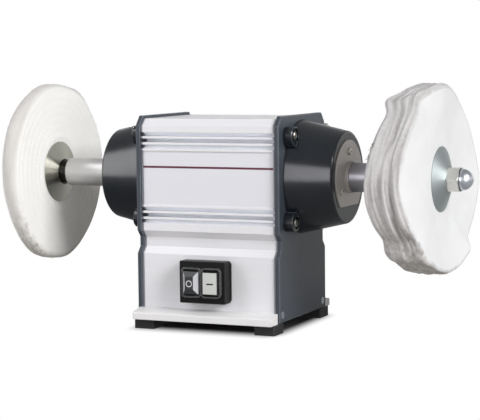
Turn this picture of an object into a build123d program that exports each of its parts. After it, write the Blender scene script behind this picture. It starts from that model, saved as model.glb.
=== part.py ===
from build123d import *
import os
from math import cos, pi, radians, sin

# Bench polishing machine. Millimetres, +X along the spindle to the right of someone who stands in
# front of it, +Y to the back, +Z up. The origin is on the bench, under the middle of the machine.

# Clearances
fit_gap = 0.05            # radial gap of turned fits, pressed or slid together
slide_gap = 0.3           # gap beside a face that slides
screw_gap = 0.25          # radial gap of a screw in its through hole
thread_gap = 0.05         # radial gap of a screw in its tapped hole
tap_past = 1.0            # tapped hole past the screw's end
cut_past = 1.0            # how far a cut runs past the face that it opens

# Motor
stator_radius = 50.0
stator_bore_radius = 30.0
stator_length = 70.0
air_gap = 0.4
slot_count = 24
slot_width = 3.8
slot_depth = 11.0
slot_lip = 1.2            # tooth tip between slot and bore
winding_gap = 0.25        # insulation between winding and slot
winding_overhang = 22.0
winding_height = 14.0
winding_bore_gap = 0.7    # stator bore to the winding's end turns
rotor_bar_count = 20
rotor_bar_radius = 1.8
rotor_bar_cover = 1.4     # iron over a rotor bar
rotor_bar_sink = 1.0      # rotor bar into its end ring
cage_ring_length = 10.0
cage_ring_height = 9.0
cage_ring_step = 0.6      # rotor's face to the end ring's

# Motor housing, an extruded profile with a pedestal under the motor
housing_length = 154.0
side_wall = 13.0          # stator to front face
top_wall = 12.5           # stator to top face
top_chamfer = 7.5
wall = 4.0
web = 8.5                 # stator to electrical space
waist_to_bore = 6.1       # top of the waist to the stator
waist_slope = 7.2
waist_flat = 10.0
waist_depth = 6.4
band_half_height = 28.6   # flat band in the middle of the front
band_recess = 1.2
rib = 2.5
groove_width = 4.0
groove_depth = 11.0
side_groove_depth = 7.0
side_groove_rise = 4.0    # how much the outer grooves' floors slant
rail_width = 12.0         # screw rails along the foot of the pedestal
rail_height = 10.5
lead_hole_radius = 8.0

# End plates
plate_thickness = 5.0
plate_overhang = 2.0      # past the housing at the front and back
plate_overhang_top = 3.0
plate_chamfer_side = 8.6
plate_chamfer_top = 9.6
plate_edge = 0.8          # broken edge of the outer face
plate_rise = 1.0          # above the underside of the base
plate_screw_radius = 2.0
plate_screw_depth = 14.0
plate_head_radius = 3.8   # countersunk
plate_head_sink = 0.1     # head under the plate's face
plate_slot_reach = 2.1    # cross recess
plate_slot_width = 0.9
plate_slot_depth = 1.3

# End bells
bell_length = 51.5
bell_rim_side = 4.4       # stator to the side of the bell's foot
bell_rim_top = 10.3       # stator to the top of the bell's foot
bell_end_rim = 8.7        # ring round the bearing cover
bell_end_round = 2.5
bell_wall = 5.0
bell_end_wall = 12.5
spigot_length = 4.0       # into the housing
spigot_wall = 4.0
ear_height = 10.4
ear_radius = 9.0
ear_offset = 3.5          # screw centre to the middle of the ear's round corner
ear_edge = 0.8
ear_ledge = 11.0          # screw centre to the step under the ear
ear_screw_wall = 11.8     # stator to screw centre
ear_screw_angle = 47.2
ear_screw_radius = 2.5
ear_screw_depth = 15.0    # into the housing
ear_head_radius = 4.25
ear_head_height = 5.0
ear_head_gap = 2.2
ear_head_sink = 0.5
ear_head_chamfer = 0.4
ear_socket = 4.0          # across the flats
ear_socket_depth = 2.5

# Ball bearings, 17 x 40 x 12
bearing_bore = 17.0
bearing_diameter = 40.0
bearing_width = 12.0
ball_radius = 3.37
ball_count = 8
ball_gap = 0.04
groove_conformity = 1.04
race_height = 0.6         # race shoulder's share of a ball radius
bearing_cage_width = 8.4
bearing_cage_height = 2.6
shield_thickness = 0.5
shield_inset = 0.3
shield_gap = 0.2
bearing_shoulder = 3.0
shoulder_step = 3.0       # bearing seat to the hole behind it
bearing_washer = 1.3
bearing_washer_height = 2.6

# Bearing covers
cover_thickness = 2.5
cover_edge = 0.4
cover_sink = 1.0          # recess in the bell's end
cover_screw_wall = 7.0    # bearing to screw centre
cover_rim = 12.4          # screw centre to the cover's edge
cover_flat = 29.8         # spindle to the cover's flat
cover_gap = 0.3
cover_collar_wall = 1.0
cover_collar_height = 4.6
cover_hole_gap = 0.5
cover_screw_radius = 2.0
cover_screw_depth = 10.0
cover_head_radius = 3.8
cover_head_height = 2.2
cover_head_round = 1.5
cover_socket = 2.5
cover_socket_depth = 1.2

# Spindle and what it clamps
thread_step = 0.5         # bearing seat to thread, radially
shaft_shoulder = 2.5      # bearing seat to shaft, radially
rotor_seat_step = 2.0
sleeve_length = 66.3
sleeve_radius = 15.3
sleeve_nose_length = 2.2
sleeve_nose_step = 0.6
sleeve_edge = 0.6
neck_length = 8.5
neck_radius = 12.5
flange_radius = 33.6
flange_small_radius = 14.0
inner_flange_depth = 6.8
outer_flange_depth = 8.9
flange_rim = 1.0
hub_thickness = 21.6
nut_across_flats = 24.0
nut_hex_height = 12.6
nut_chamfer = 1.6
nut_dome_radius = 11.0
nut_height = 25.1
nut_roof = 5.0
thread_end_gap = 2.0

# Sewn buff, left
buff_radius = 100.0
sewn_inner_swell = 2.8    # cloth that stands proud of the flange
sewn_outer_swell = 1.0
sewn_rim_set = 3.9        # how far the outer face falls back at the rim
sewn_rim_round = 9.0
flange_ease = 5.0         # where the cloth rises beside a flange

# Loose buff, right: plies that spread and lean towards the rim
ply_count = 4
loose_steps = 40
loose_rim_radius = 97.5
loose_ruffle = 2.4
loose_ruffle_count = 4
loose_ruffle_turn = 1.3   # from one ply's edge to the next, radians
ply_notch = 5.0
ply_shoulder = 6.0
loose_inner_flare = 8.8
loose_inner_lean = 12.0
loose_inner_twist = 6.0
loose_outer_flare = 1.1
loose_outer_lean = 11.5
loose_outer_twist = 2.0
loose_fold = 2.2
loose_fold_count = 5
loose_inner_turn = 0.7    # where the folds start, radians
loose_outer_turn = 2.9

# Base frame and feet
foot_length = 22.8
foot_width = 25.0
foot_height = 10.5
foot_inset_end = 1.4      # foot to the end plate's face
foot_inset_side = 6.4     # foot to the lip's front
foot_chamfer = 1.0
foot_screw_radius = 2.5
foot_head_radius = 4.6
foot_head_height = 3.0
foot_recess_radius = 5.5
foot_recess_depth = 6.0
foot_screw_depth = 6.5
base_thickness = 3.5
lip_height = 11.0
lip_front_height = 7.5
lip_reach = 18.5          # past the end plates at the front and back
lip_round = 1.2
lip_end_inset = 2.5       # lip's end to the end plate's face
lip_gap = 0.2
base_screw_radius = 2.5
base_screw_depth = 7.0
base_screw_inset = 30.0
base_head_radius = 4.6
base_head_height = 2.8

# Switch
button_width = 17.0
button_height = 23.5
button_pitch = 22.4
button_reach = 5.5        # on button's face, past the frame
button_bevel = 0.6
off_crown_width = 9.6
off_crown_height = 13.6
off_crown = 3.0           # off button's crown, past the on button's face
off_shoulder = 1.0        # off button's shoulder, behind the on button's face
button_travel = 3.0
button_stop = 2.0         # thickness of the flange that holds a button in
button_stop_width = 1.2
button_tail = 2.0
rim_gap = 1.2
rim_gap_top = 2.3
rim_width = 1.7
rim_depth = 3.5
rim_round = 4.5
frame_margin = 3.4
frame_margin_top = 6.3
frame_depth = 15.5
frame_wall = 2.0
frame_front = 2.5
frame_round = 1.2
frame_edge = 0.5
gasket_thickness = 1.2
gasket_side = 1.0         # past the frame, at its sides
gasket_short = 1.0        # inside the frame, at its top and bottom
gasket_round = 3.0
switch_below = 8.7        # lip to frame
switch_above = 4.6        # frame to waist
contact_inset = 6.0
contact_depth = 30.0      # behind the housing's face
contact_gap = 0.5
spring_radius = 4.0
spring_wall = 0.8
spring_well = 8.0
spring_well_gap = 0.5

# Cable gland at the back of the pedestal
gland_inset = 32.0        # housing's end to the gland
gland_rise = 18.0         # lip to the gland
gland_thread_radius = 8.0
gland_across_flats = 22.0
gland_flange = 5.0
gland_neck_radius = 7.5
gland_neck_length = 8.0
gland_lead_radius = 4.0
gland_bore_wall = 2.0
gland_nut_across_flats = 21.0
gland_nut_length = 14.0
gland_nut_skirt = 9.0
gland_nut_round = 2.0
gland_lock_thickness = 4.0
gland_lock_across_flats = 22.0
gland_tail = 2.0

# Electrical parts in the pedestal
capacitor_radius = 17.5
capacitor_length = 62.0
capacitor_x = -30.0
capacitor_y = 24.0
capacitor_stud_radius = 3.0
capacitor_stud_length = 5.0
clip_wall = 1.2
clip_width = 16.0
clip_foot = 8.0
clip_screw_offset = 4.0
terminal_count = 5
terminal_pitch = 9.0
terminal_margin = 7.5     # last well to the end of the block
terminal_width = 18.0
terminal_height = 16.0
terminal_x = 30.0
terminal_y = -6.0
terminal_well_radius = 2.6
terminal_well_depth = 6.0
small_screw_radius = 1.5
small_head_radius = 2.8
small_head_height = 1.8
lead_radius = 1.4
lead_bend = 7.0
lead_end_gap = 0.1

# Worked out from the above: heights
base_bottom = foot_height
base_top = base_bottom + base_thickness
lip_top = base_bottom + lip_height
rim_width_total = button_pitch + button_width + 2 * (rim_gap + rim_width)
rim_height_total = button_height + 2 * (rim_gap_top + rim_width)
frame_width = rim_width_total + 2 * frame_margin
frame_height = rim_height_total + 2 * frame_margin_top
switch_z = lip_top + switch_below + frame_height / 2
waist_bottom = switch_z + frame_height / 2 + switch_above
waist_in_bottom = waist_bottom + waist_slope
waist_in_top = waist_in_bottom + waist_flat
waist_top = waist_in_top + waist_slope
spindle_height = waist_top + waist_to_bore + stator_radius
housing_top = spindle_height + stator_radius + top_wall
plate_bottom = base_bottom + plate_rise
plate_top = housing_top + plate_overhang_top
space_top = spindle_height - stator_radius - web

# Worked out: depths
housing_half = stator_radius + side_wall
plate_half = housing_half + plate_overhang
rail_y = housing_half - rail_width / 2
rail_z = base_top + rail_height / 2
lip_front = plate_half + lip_reach

# Worked out: places along the spindle, on the right
housing_end = housing_length / 2
plate_face = housing_end + plate_thickness
bell_end = plate_face + bell_length
cover_seat = bell_end - cover_sink
cover_face = cover_seat + cover_thickness
bearing_face = cover_seat - bearing_washer
bearing_back = bearing_face - bearing_width
bearing_middle = bearing_face - bearing_width / 2
sleeve_end = bearing_face + sleeve_length
neck_end = sleeve_end + neck_length
hub_inner = neck_end + inner_flange_depth
hub_outer = hub_inner + hub_thickness
nut_start = hub_outer + outer_flange_depth
nut_end = nut_start + nut_height

# Worked out: radii
bearing_outer = bearing_diameter / 2
journal_radius = bearing_bore / 2
thread_radius = journal_radius - thread_step
shaft_radius = journal_radius + shaft_shoulder
rotor_seat_radius = shaft_radius + rotor_seat_step
rotor_radius = stator_bore_radius - air_gap
pitch_radius = (journal_radius + bearing_outer) / 2
inner_race_radius = pitch_radius - race_height * ball_radius
outer_race_radius = pitch_radius + race_height * ball_radius
cover_screw_circle = bearing_outer + cover_screw_wall
cover_radius = cover_screw_circle + cover_rim
cover_hole_radius = sleeve_radius + cover_hole_gap
bell_end_radius = cover_radius + cover_gap + bell_end_rim
bell_half_width = stator_radius + bell_rim_side
bell_half_height = stator_radius + bell_rim_top
ear_circle = stator_radius + ear_screw_wall
ear_y = ear_circle * cos(radians(ear_screw_angle))
ear_z = ear_circle * sin(radians(ear_screw_angle))
ear_face = plate_face + ear_height
ear_head_seat = ear_face - ear_head_sink - ear_head_height

os.makedirs("parts", exist_ok=True)


def save(name, *solids):
    """Writes one node: a single solid, or a group of separate ones."""
    shape = solids[0] if len(solids) == 1 else Compound(children=[each for each in solids])
    export_step(shape, f"parts/{name}.step")


def save_pair(name, right):
    """Writes a piece of the right side, and its mirror image on the left."""
    save(f"right_{name}", *right.solids())
    save(f"left_{name}", *mirror(right, Plane.YZ).solids())


def box(x0, x1, y0, y1, z0, z1):
    """A block between two corners."""
    return Pos((x0 + x1) / 2, (y0 + y1) / 2, (z0 + z1) / 2) * Box(x1 - x0, y1 - y0, z1 - z0)


def rod_x(radius, x0, x1, y=0.0, z=0.0):
    """A round bar along X."""
    return Pos((x0 + x1) / 2, y, z) * Rot(0, 90, 0) * Cylinder(radius, x1 - x0)


def rod_y(radius, y0, y1, x=0.0, z=0.0):
    """A round bar along Y."""
    return Pos(x, (y0 + y1) / 2, z) * Rot(90, 0, 0) * Cylinder(radius, y1 - y0)


def rod_z(radius, z0, z1, x=0.0, y=0.0):
    """A round bar along Z."""
    return Pos(x, y, (z0 + z1) / 2) * Cylinder(radius, z1 - z0)


def cone_x(radius0, radius1, x0, x1, y=0.0, z=0.0):
    """A cone along X, from its radius at x0 to its radius at x1."""
    return Pos((x0 + x1) / 2, y, z) * Rot(0, 90, 0) * Cone(radius0, radius1, x1 - x0)


def hex_x(flats, x0, x1, y=0.0, z=0.0):
    """A hexagonal bar along X."""
    plane = Plane(origin=(x0, y, z), x_dir=(0, 1, 0), z_dir=(1, 0, 0))
    return extrude(plane * RegularPolygon(flats / 2, 6, major_radius=False), x1 - x0)


def hex_y(flats, y0, y1, x=0.0, z=0.0):
    """A hexagonal bar along Y."""
    plane = Plane(origin=(x, y0, z), x_dir=(1, 0, 0), z_dir=(0, 1, 0))
    return extrude(plane * RegularPolygon(flats / 2, 6, major_radius=False), y1 - y0)


def turned(*points):
    """A piece turned about the spindle, from the corners of its half section: along, radius."""
    half_section = make_face(Polyline(*points, close=True))
    return Pos(0, 0, spindle_height) * revolve(half_section, Axis.X)


def ring(x0, x1, inner, outer):
    """A plain ring about the spindle."""
    return turned((x0, inner), (x1, inner), (x1, outer), (x0, outer))


def on_spindle(sketch, x0, x1):
    """A flat shape in Y and Z about the spindle, as thick as from x0 to x1."""
    plane = Plane(origin=(x0, 0, spindle_height), x_dir=(0, 1, 0), z_dir=(1, 0, 0))
    return extrude(plane * sketch, x1 - x0)


def profile(half, x0, x1):
    """A bar along X, from the +Y half of its outline in Y and Z, listed from bottom to top."""
    other = [(-y, z) for y, z in reversed(half)]
    outline = make_face(Polyline(*half, *other, close=True))
    return extrude(Plane(origin=(x0, 0, 0), x_dir=(0, 1, 0), z_dir=(1, 0, 0)) * outline, x1 - x0)


def block_y(width, height, y0, y1, x=0.0, z=0.0, round_by=0.0):
    """A block along Y, with its long edges rounded if asked."""
    outline = RectangleRounded(width, height, round_by) if round_by else Rectangle(width, height)
    plane = Plane(origin=(x, y1, z), x_dir=(1, 0, 0), z_dir=(0, -1, 0))
    return extrude(plane * outline, y1 - y0)


ear_places = [(ear_y * side, ear_z * up) for side in (1, -1) for up in (1, -1)]
cover_angles = [90, 210, 330]
cover_places = [(cover_screw_circle * cos(radians(a)), cover_screw_circle * sin(radians(a)))
                for a in cover_angles]
corners = [(end, side) for end in (1, -1) for side in (1, -1)]

# Motor housing: one extrusion for the motor barrel and the pedestal, ribbed at the front and back
housing_outline = [
    (housing_half, base_top), (housing_half, waist_bottom),
    (housing_half - waist_depth, waist_in_bottom), (housing_half - waist_depth, waist_in_top),
    (housing_half, waist_top), (housing_half, housing_top - top_chamfer),
    (housing_half - top_chamfer, housing_top),
]
housing = profile(housing_outline, -housing_end, housing_end)
space_outline = [
    (housing_half - rail_width, base_top), (housing_half - rail_width, base_top + rail_height),
    (housing_half - wall, base_top + rail_height), (housing_half - wall, waist_bottom),
    (housing_half - waist_depth - wall, waist_in_bottom),
    (housing_half - waist_depth - wall, space_top),
]
housing -= profile(space_outline, -housing_end, housing_end)
housing -= rod_x(stator_radius + fit_gap, -housing_end, housing_end, 0, spindle_height)
groove_pitch = groove_width + rib
groove_start = band_half_height + rib
for side in (1, -1):
    band_floor = side * (housing_half - band_recess)
    band_low = spindle_height - band_half_height
    band_high = spindle_height + band_half_height
    front, back = sorted((band_floor, side * (housing_half + cut_past)))
    housing -= box(-housing_end, housing_end, front, back, band_low, band_high)
    for up in (1, -1):
        for number in range(3):
            low = groove_start + number * groove_pitch
            high = low + groove_width
            near, far = groove_depth, groove_depth
            if number == 0:
                near, far = side_groove_depth - side_groove_rise, side_groove_depth
            if number == 2:
                near, far = side_groove_depth, side_groove_depth - side_groove_rise
            mouth = housing_half + cut_past
            groove = make_face(Polyline(
                (side * mouth, up * low), (side * (housing_half - near), up * low),
                (side * (housing_half - far), up * high), (side * mouth, up * high), close=True))
            housing -= on_spindle(groove, -housing_end, housing_end)
for y, z in ear_places:
    tapped = ear_screw_radius + thread_gap
    for end in (1, -1):
        x0, x1 = sorted((end * (housing_end - ear_screw_depth - tap_past), end * housing_end))
        housing -= rod_x(tapped, x0, x1, y, spindle_height + z)
for end, side in corners:
    x0, x1 = sorted((end * (housing_end - plate_screw_depth - tap_past), end * housing_end))
    housing -= rod_x(plate_screw_radius + thread_gap, x0, x1, side * rail_y, rail_z)
    base_screw_x = end * (housing_end - base_screw_inset)
    housing -= rod_z(base_screw_radius + thread_gap, base_top, base_top + base_screw_depth + tap_past,
                     base_screw_x, side * rail_y)
lead_hole_x = stator_length / 2 + winding_overhang / 2
housing -= rod_z(lead_hole_radius, space_top - cut_past, spindle_height - stator_bore_radius,
                 lead_hole_x)
contact_width = frame_width - 2 * contact_inset
contact_height = frame_height - 2 * contact_inset
housing -= block_y(contact_width + 2 * contact_gap, contact_height + 2 * contact_gap,
                   -housing_half - cut_past, -housing_half + wall + cut_past, 0, switch_z)
gland_x = housing_end - gland_inset
gland_z = lip_top + gland_rise
housing -= rod_y(gland_thread_radius + screw_gap, housing_half - wall - cut_past,
                 housing_half + cut_past, gland_x, gland_z)
save("motor_housing", *housing.solids())

# End plates: cut from sheet, as waisted as the housing, and clamped under the bells
plate_outline = [
    (plate_half, plate_bottom), (plate_half, waist_bottom),
    (plate_half - waist_depth, waist_in_bottom), (plate_half - waist_depth, waist_in_top),
    (plate_half, waist_top), (plate_half, plate_top - plate_chamfer_top),
    (plate_half - plate_chamfer_side, plate_top),
]
plate = profile(plate_outline, housing_end, plate_face)
plate = chamfer(plate.faces().sort_by(Axis.X)[-1].edges(), plate_edge)
plate -= rod_x(stator_radius + fit_gap, housing_end, plate_face, 0, spindle_height)
for y, z in ear_places:
    plate -= rod_x(ear_screw_radius + screw_gap, housing_end, plate_face, y, spindle_height + z)
plate_head_depth = plate_head_radius - plate_screw_radius
for side in (1, -1):
    plate -= rod_x(plate_screw_radius + screw_gap, housing_end, plate_face, side * rail_y, rail_z)
    plate -= cone_x(plate_screw_radius + screw_gap, plate_head_radius + screw_gap,
                    plate_face - plate_head_depth, plate_face, side * rail_y, rail_z)
save_pair("end_plate", plate)

plate_screws = []
for end, side in corners:
    head_top = plate_face - plate_head_sink
    head_bottom = head_top - plate_head_depth
    head = cone_x(plate_screw_radius, plate_head_radius, head_bottom, head_top, side * rail_y, rail_z)
    long, short = plate_slot_reach, plate_slot_width / 2
    for across, along in ((long, short), (short, long)):
        head -= box(head_top - plate_slot_depth, head_top, side * rail_y - across,
                    side * rail_y + across, rail_z - along, rail_z + along)
    shank = rod_x(plate_screw_radius, housing_end - plate_screw_depth, head_bottom,
                  side * rail_y, rail_z)
    screw = head + shank
    plate_screws.append(screw.solid() if end > 0 else mirror(screw, Plane.YZ).solid())
save("end_plate_screws", *plate_screws)


# End bells: oval, conical castings with four screw ears
def bell_plane(x):
    """A plane across the spindle."""
    return Plane(origin=(x, 0, spindle_height), x_dir=(0, 1, 0), z_dir=(1, 0, 0))


bell = loft([bell_plane(plate_face) * Ellipse(bell_half_width, bell_half_height),
             bell_plane(bell_end) * Circle(bell_end_radius)])
bell = fillet(bell.edges().group_by(Axis.X)[-1], bell_end_round)
for y, z in ear_places:
    side = 1 if y > 0 else -1
    up = 1 if z > 0 else -1
    ear_reach = ear_offset + ear_radius
    outer = Pos(y + side * ear_offset / 2, z) * SlotCenterToCenter(ear_offset, 2 * ear_radius)
    outer &= Pos(y, z + up * ear_reach / 2) * Rectangle(4 * ear_reach, ear_reach)
    inner = Pos(y, z) * Circle(ear_reach)
    inner &= Pos(y, z - up * ear_ledge / 2) * Rectangle(2 * ear_reach, ear_ledge)
    ear = on_spindle(outer + inner, plate_face, ear_face)
    bell += chamfer(ear.faces().sort_by(Axis.X)[-1].edges(), ear_edge)
spigot_start = housing_end - spigot_length
bell += rod_x(stator_radius - fit_gap, spigot_start, plate_face, 0, spindle_height)
hollow_radius = stator_radius - spigot_wall
hollow_end_radius = bell_end_radius - bell_wall
boss_radius = cover_screw_circle + cover_screw_radius + bell_wall / 2
boss_start = bearing_back - bearing_shoulder
hollow_end = bell_end - bell_end_wall
bell -= turned((spigot_start - cut_past, 0), (spigot_start - cut_past, hollow_radius),
               (plate_face, hollow_radius),
               (hollow_end, hollow_end_radius), (hollow_end, boss_radius), (boss_start, boss_radius),
               (boss_start, 0))
bell -= turned((boss_start - cut_past, 0), (boss_start - cut_past, bearing_outer - shoulder_step),
               (bearing_back, bearing_outer - shoulder_step),
               (bearing_back, bearing_outer + fit_gap), (bell_end, bearing_outer + fit_gap),
               (bell_end, 0))


def cover_shape(gap):
    """The bearing cover's outline: a round plate with a flat below."""
    reach = cover_radius + gap
    below = cover_flat + gap
    return Circle(reach) & Pos(0, (reach - below) / 2) * Rectangle(2 * reach, reach + below)


bell -= on_spindle(cover_shape(cover_gap), cover_seat, bell_end + cut_past)
for y, z in ear_places:
    bell -= rod_x(ear_screw_radius + screw_gap, plate_face - cut_past, ear_face, y, spindle_height + z)
    bell -= rod_x(ear_head_radius + ear_head_gap, ear_head_seat, bell_end, y, spindle_height + z)
for y, z in cover_places:
    bell -= rod_x(cover_screw_radius + thread_gap, cover_seat - cover_screw_depth - tap_past,
                  cover_seat, y, spindle_height + z)
save_pair("end_bell", bell)

ear_screws = []
for y, z in ear_places:
    head_top = ear_head_seat + ear_head_height
    screw = rod_x(ear_head_radius, ear_head_seat, head_top, y, spindle_height + z)
    screw = chamfer(screw.edges().group_by(Axis.X)[-1], ear_head_chamfer)
    screw += rod_x(ear_screw_radius, housing_end - ear_screw_depth, ear_head_seat,
                   y, spindle_height + z)
    screw -= hex_x(ear_socket, head_top - ear_socket_depth, head_top, y, spindle_height + z)
    ear_screws += [screw.solid(), mirror(screw, Plane.YZ).solid()]
save("end_bell_screws", *ear_screws)

# Stator: slotted core pressed into the housing, with a winding through its slots
core_half = stator_length / 2
slot_floor_radius = stator_bore_radius + slot_lip + slot_depth
slot_mouth = slot_width / 2
stator = ring(-core_half, core_half, stator_bore_radius, stator_radius)
ring_inner = stator_bore_radius + winding_bore_gap
ring_outer = ring_inner + winding_height
coil_end = core_half + winding_overhang
winding = ring(core_half + winding_gap, coil_end, ring_inner, ring_outer)
winding += mirror(winding, Plane.YZ)
slots = []
bars = []
bar_height = slot_depth - 2 * winding_gap
bar_middle = stator_bore_radius + slot_lip + slot_depth / 2
for number in range(slot_count):
    turn = Pos(0, 0, spindle_height) * Rot(360 / slot_count * number, 0, 0)
    slots.append(turn * Pos(0, 0, bar_middle) * Box(stator_length, slot_width, slot_depth))
    mouth_middle = stator_bore_radius + slot_lip / 2
    slots.append(turn * Pos(0, 0, mouth_middle) * Box(stator_length, slot_mouth, 2 * slot_lip))
    bars.append(turn * Pos(0, 0, bar_middle) * Box(
        stator_length + winding_overhang, slot_width - 2 * winding_gap, bar_height))
stator -= slots
winding += bars
save("stator_core", *stator.solids())
save("stator_winding", *winding.solids())

# Rotor: laminated core with cast bars and end rings
bar_circle = rotor_radius - rotor_bar_cover - rotor_bar_radius
rotor = ring(-core_half, core_half, rotor_seat_radius + fit_gap, rotor_radius)
cage_outer = rotor_radius - cage_ring_step
cage = ring(core_half, core_half + cage_ring_length, cage_outer - cage_ring_height, cage_outer)
cage += mirror(cage, Plane.YZ)
bar_holes = []
cage_bars = []
for number in range(rotor_bar_count):
    angle = 2 * pi * number / rotor_bar_count
    y = bar_circle * cos(angle)
    z = spindle_height + bar_circle * sin(angle)
    bar_holes.append(rod_x(rotor_bar_radius + fit_gap, -core_half, core_half, y, z))
    bar_end = core_half + rotor_bar_sink
    cage_bars.append(rod_x(rotor_bar_radius, -bar_end, bar_end, y, z))
rotor -= bar_holes
cage += cage_bars
save("rotor_core", *rotor.solids())
save("rotor_cage", *cage.solids())

# Spindle shaft: stepped from the rotor seat down to the threads at both ends
thread_end = nut_end - nut_roof - thread_end_gap
shaft_half = [(core_half + cage_ring_length, rotor_seat_radius),
              (core_half + cage_ring_length, shaft_radius), (bearing_back, shaft_radius),
              (bearing_back, journal_radius), (bearing_face, journal_radius),
              (bearing_face, thread_radius), (thread_end, thread_radius), (thread_end, 0)]
shaft = turned(*shaft_half, *[(-x, r) for x, r in reversed(shaft_half)])
save("spindle_shaft", shaft.solid())


# Ball bearings: two rings with a ball groove, caged balls and two shields
def race(ring):
    """A ring with the ball groove cut into it."""
    groove = Pos(bearing_middle, 0, spindle_height) * Rot(0, 90, 0) * Torus(
        pitch_radius, ball_radius * groove_conformity)
    return ring - groove


save_pair("bearing_inner_ring", race(
    ring(bearing_back, bearing_face, journal_radius + fit_gap, inner_race_radius)))
save_pair("bearing_outer_ring", race(
    ring(bearing_back, bearing_face, outer_race_radius, bearing_outer)))
balls = []
pockets = []
for number in range(ball_count):
    angle = 2 * pi * (number + 0.5) / ball_count
    place = Pos(bearing_middle, pitch_radius * cos(angle), spindle_height + pitch_radius * sin(angle))
    balls.append(place * Sphere(ball_radius))
    pockets.append(place * Sphere(ball_radius + ball_gap))
ball_cage = ring(bearing_middle - bearing_cage_width / 2, bearing_middle + bearing_cage_width / 2,
                 pitch_radius - bearing_cage_height / 2, pitch_radius + bearing_cage_height / 2)
ball_cage -= pockets
save("right_bearing_balls", *[each.solid() for each in balls])
save("left_bearing_balls", *[mirror(each, Plane.YZ).solid() for each in balls])
save_pair("bearing_cage", ball_cage)
shields = []
for x0 in (bearing_back + shield_inset, bearing_face - shield_inset - shield_thickness):
    shields.append(ring(x0, x0 + shield_thickness, inner_race_radius + shield_gap,
                        outer_race_radius).solid())
save("right_bearing_shields", *shields)
save("left_bearing_shields", *[mirror(each, Plane.YZ).solid() for each in shields])
washer = ring(bearing_face, cover_seat, bearing_outer - bearing_washer_height, bearing_outer)
save("bearing_washers", washer.solid(), mirror(washer, Plane.YZ).solid())

# Bearing covers: D-shaped plates with a drawn collar round the sleeve, three screws each
cover = on_spindle(cover_shape(0), cover_seat, cover_face)
cover = chamfer(cover.faces().sort_by(Axis.X)[-1].edges(), cover_edge)
collar_end = cover_face + cover_collar_height
cover += on_spindle(Circle(cover_hole_radius + cover_collar_wall), cover_seat, collar_end)
cover -= rod_x(cover_hole_radius, cover_seat, collar_end, 0, spindle_height)
for y, z in cover_places:
    cover -= rod_x(cover_screw_radius + screw_gap, cover_seat, cover_face, y, spindle_height + z)
save_pair("bearing_cover", cover)
cover_screws = []
for y, z in cover_places:
    head_top = cover_face + cover_head_height
    screw = rod_x(cover_head_radius, cover_face, head_top, y, spindle_height + z)
    screw = fillet(screw.edges().group_by(Axis.X)[-1], cover_head_round)
    screw += rod_x(cover_screw_radius, cover_seat - cover_screw_depth, cover_face,
                   y, spindle_height + z)
    screw -= hex_x(cover_socket, head_top - cover_socket_depth, head_top, y, spindle_height + z)
    cover_screws += [screw.solid(), mirror(screw, Plane.YZ).solid()]
save("bearing_cover_screws", *cover_screws)

# Spacer sleeves: from the bearing's inner ring, through the cover, to the inner flange
bore_radius = thread_radius + fit_gap
nose_end = bearing_face + sleeve_nose_length
nose_radius = inner_race_radius - sleeve_nose_step
sleeve = turned((bearing_face, bore_radius), (bearing_face, nose_radius), (nose_end, nose_radius),
                (nose_end, sleeve_radius), (sleeve_end - sleeve_edge, sleeve_radius),
                (sleeve_end, sleeve_radius - sleeve_edge), (sleeve_end, bore_radius))
save_pair("spacer_sleeve", sleeve)

# Flanges: cones that clamp the buffs between them
inner_flange = turned((sleeve_end, bore_radius), (sleeve_end, neck_radius), (neck_end, neck_radius),
                      (neck_end, flange_small_radius), (hub_inner - flange_rim, flange_radius),
                      (hub_inner, flange_radius), (hub_inner, bore_radius))
outer_flange = turned((hub_outer, bore_radius), (hub_outer, flange_radius),
                      (hub_outer + flange_rim, flange_radius), (nut_start, flange_small_radius),
                      (nut_start, bore_radius))
save_pair("inner_flange", inner_flange)
save_pair("outer_flange", outer_flange)

# Cap nuts: hexagon with a dome
hex_end = nut_start + nut_hex_height
corner_radius = nut_across_flats / 2 / cos(radians(30))
hex_limit = turned((nut_start, 0), (nut_start, corner_radius - nut_chamfer),
                   (nut_start + nut_chamfer / 2, corner_radius),
                   (hex_end - nut_chamfer / 2, corner_radius), (hex_end, corner_radius - nut_chamfer),
                   (hex_end, 0))
nut = hex_x(nut_across_flats, nut_start, hex_end, 0, spindle_height) & hex_limit
dome_middle = nut_end - nut_dome_radius
nut += rod_x(nut_dome_radius, nut_start + nut_hex_height / 2, dome_middle, 0, spindle_height)
nut += Pos(dome_middle, 0, spindle_height) * Sphere(nut_dome_radius)
nut -= rod_x(bore_radius, nut_start, nut_end - nut_roof, 0, spindle_height)
save_pair("cap_nut", nut)

# Left buff: a sewn cloth wheel, pressed in at the flanges and rounded at the rim
cloth_start = flange_radius + flange_ease
inner_face = hub_inner - sewn_inner_swell
outer_face = hub_outer + sewn_outer_swell
outer_rim = hub_outer - sewn_rim_set
sewn_outline = make_face(Polyline(
    (hub_inner, bore_radius), (hub_inner, flange_radius), (inner_face, cloth_start),
    (inner_face, buff_radius), (outer_rim, buff_radius), (outer_face, cloth_start),
    (hub_outer, flange_radius), (hub_outer, bore_radius), close=True))
sewn_corners = sewn_outline.vertices().group_by(Axis.Y)[-1]
sewn_half = (outer_rim - inner_face) / 2
sewn_outline = fillet(sewn_corners, min(sewn_rim_round, sewn_half - fit_gap))
sewn_buff = Pos(0, 0, spindle_height) * revolve(sewn_outline, Axis.X)
save("left_buff", mirror(sewn_buff, Plane.YZ).solid())


# Right buff: loose plies, worked out as flat facets round the wheel
def loose_edge(angle, middle, lean, twist, fold_turn):
    """Where one side of the rim lies along the spindle, at an angle round the wheel."""
    fold = loose_fold * sin(loose_fold_count * angle + fold_turn)
    return middle + lean * cos(angle) - twist * cos(2 * angle) + fold


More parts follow.
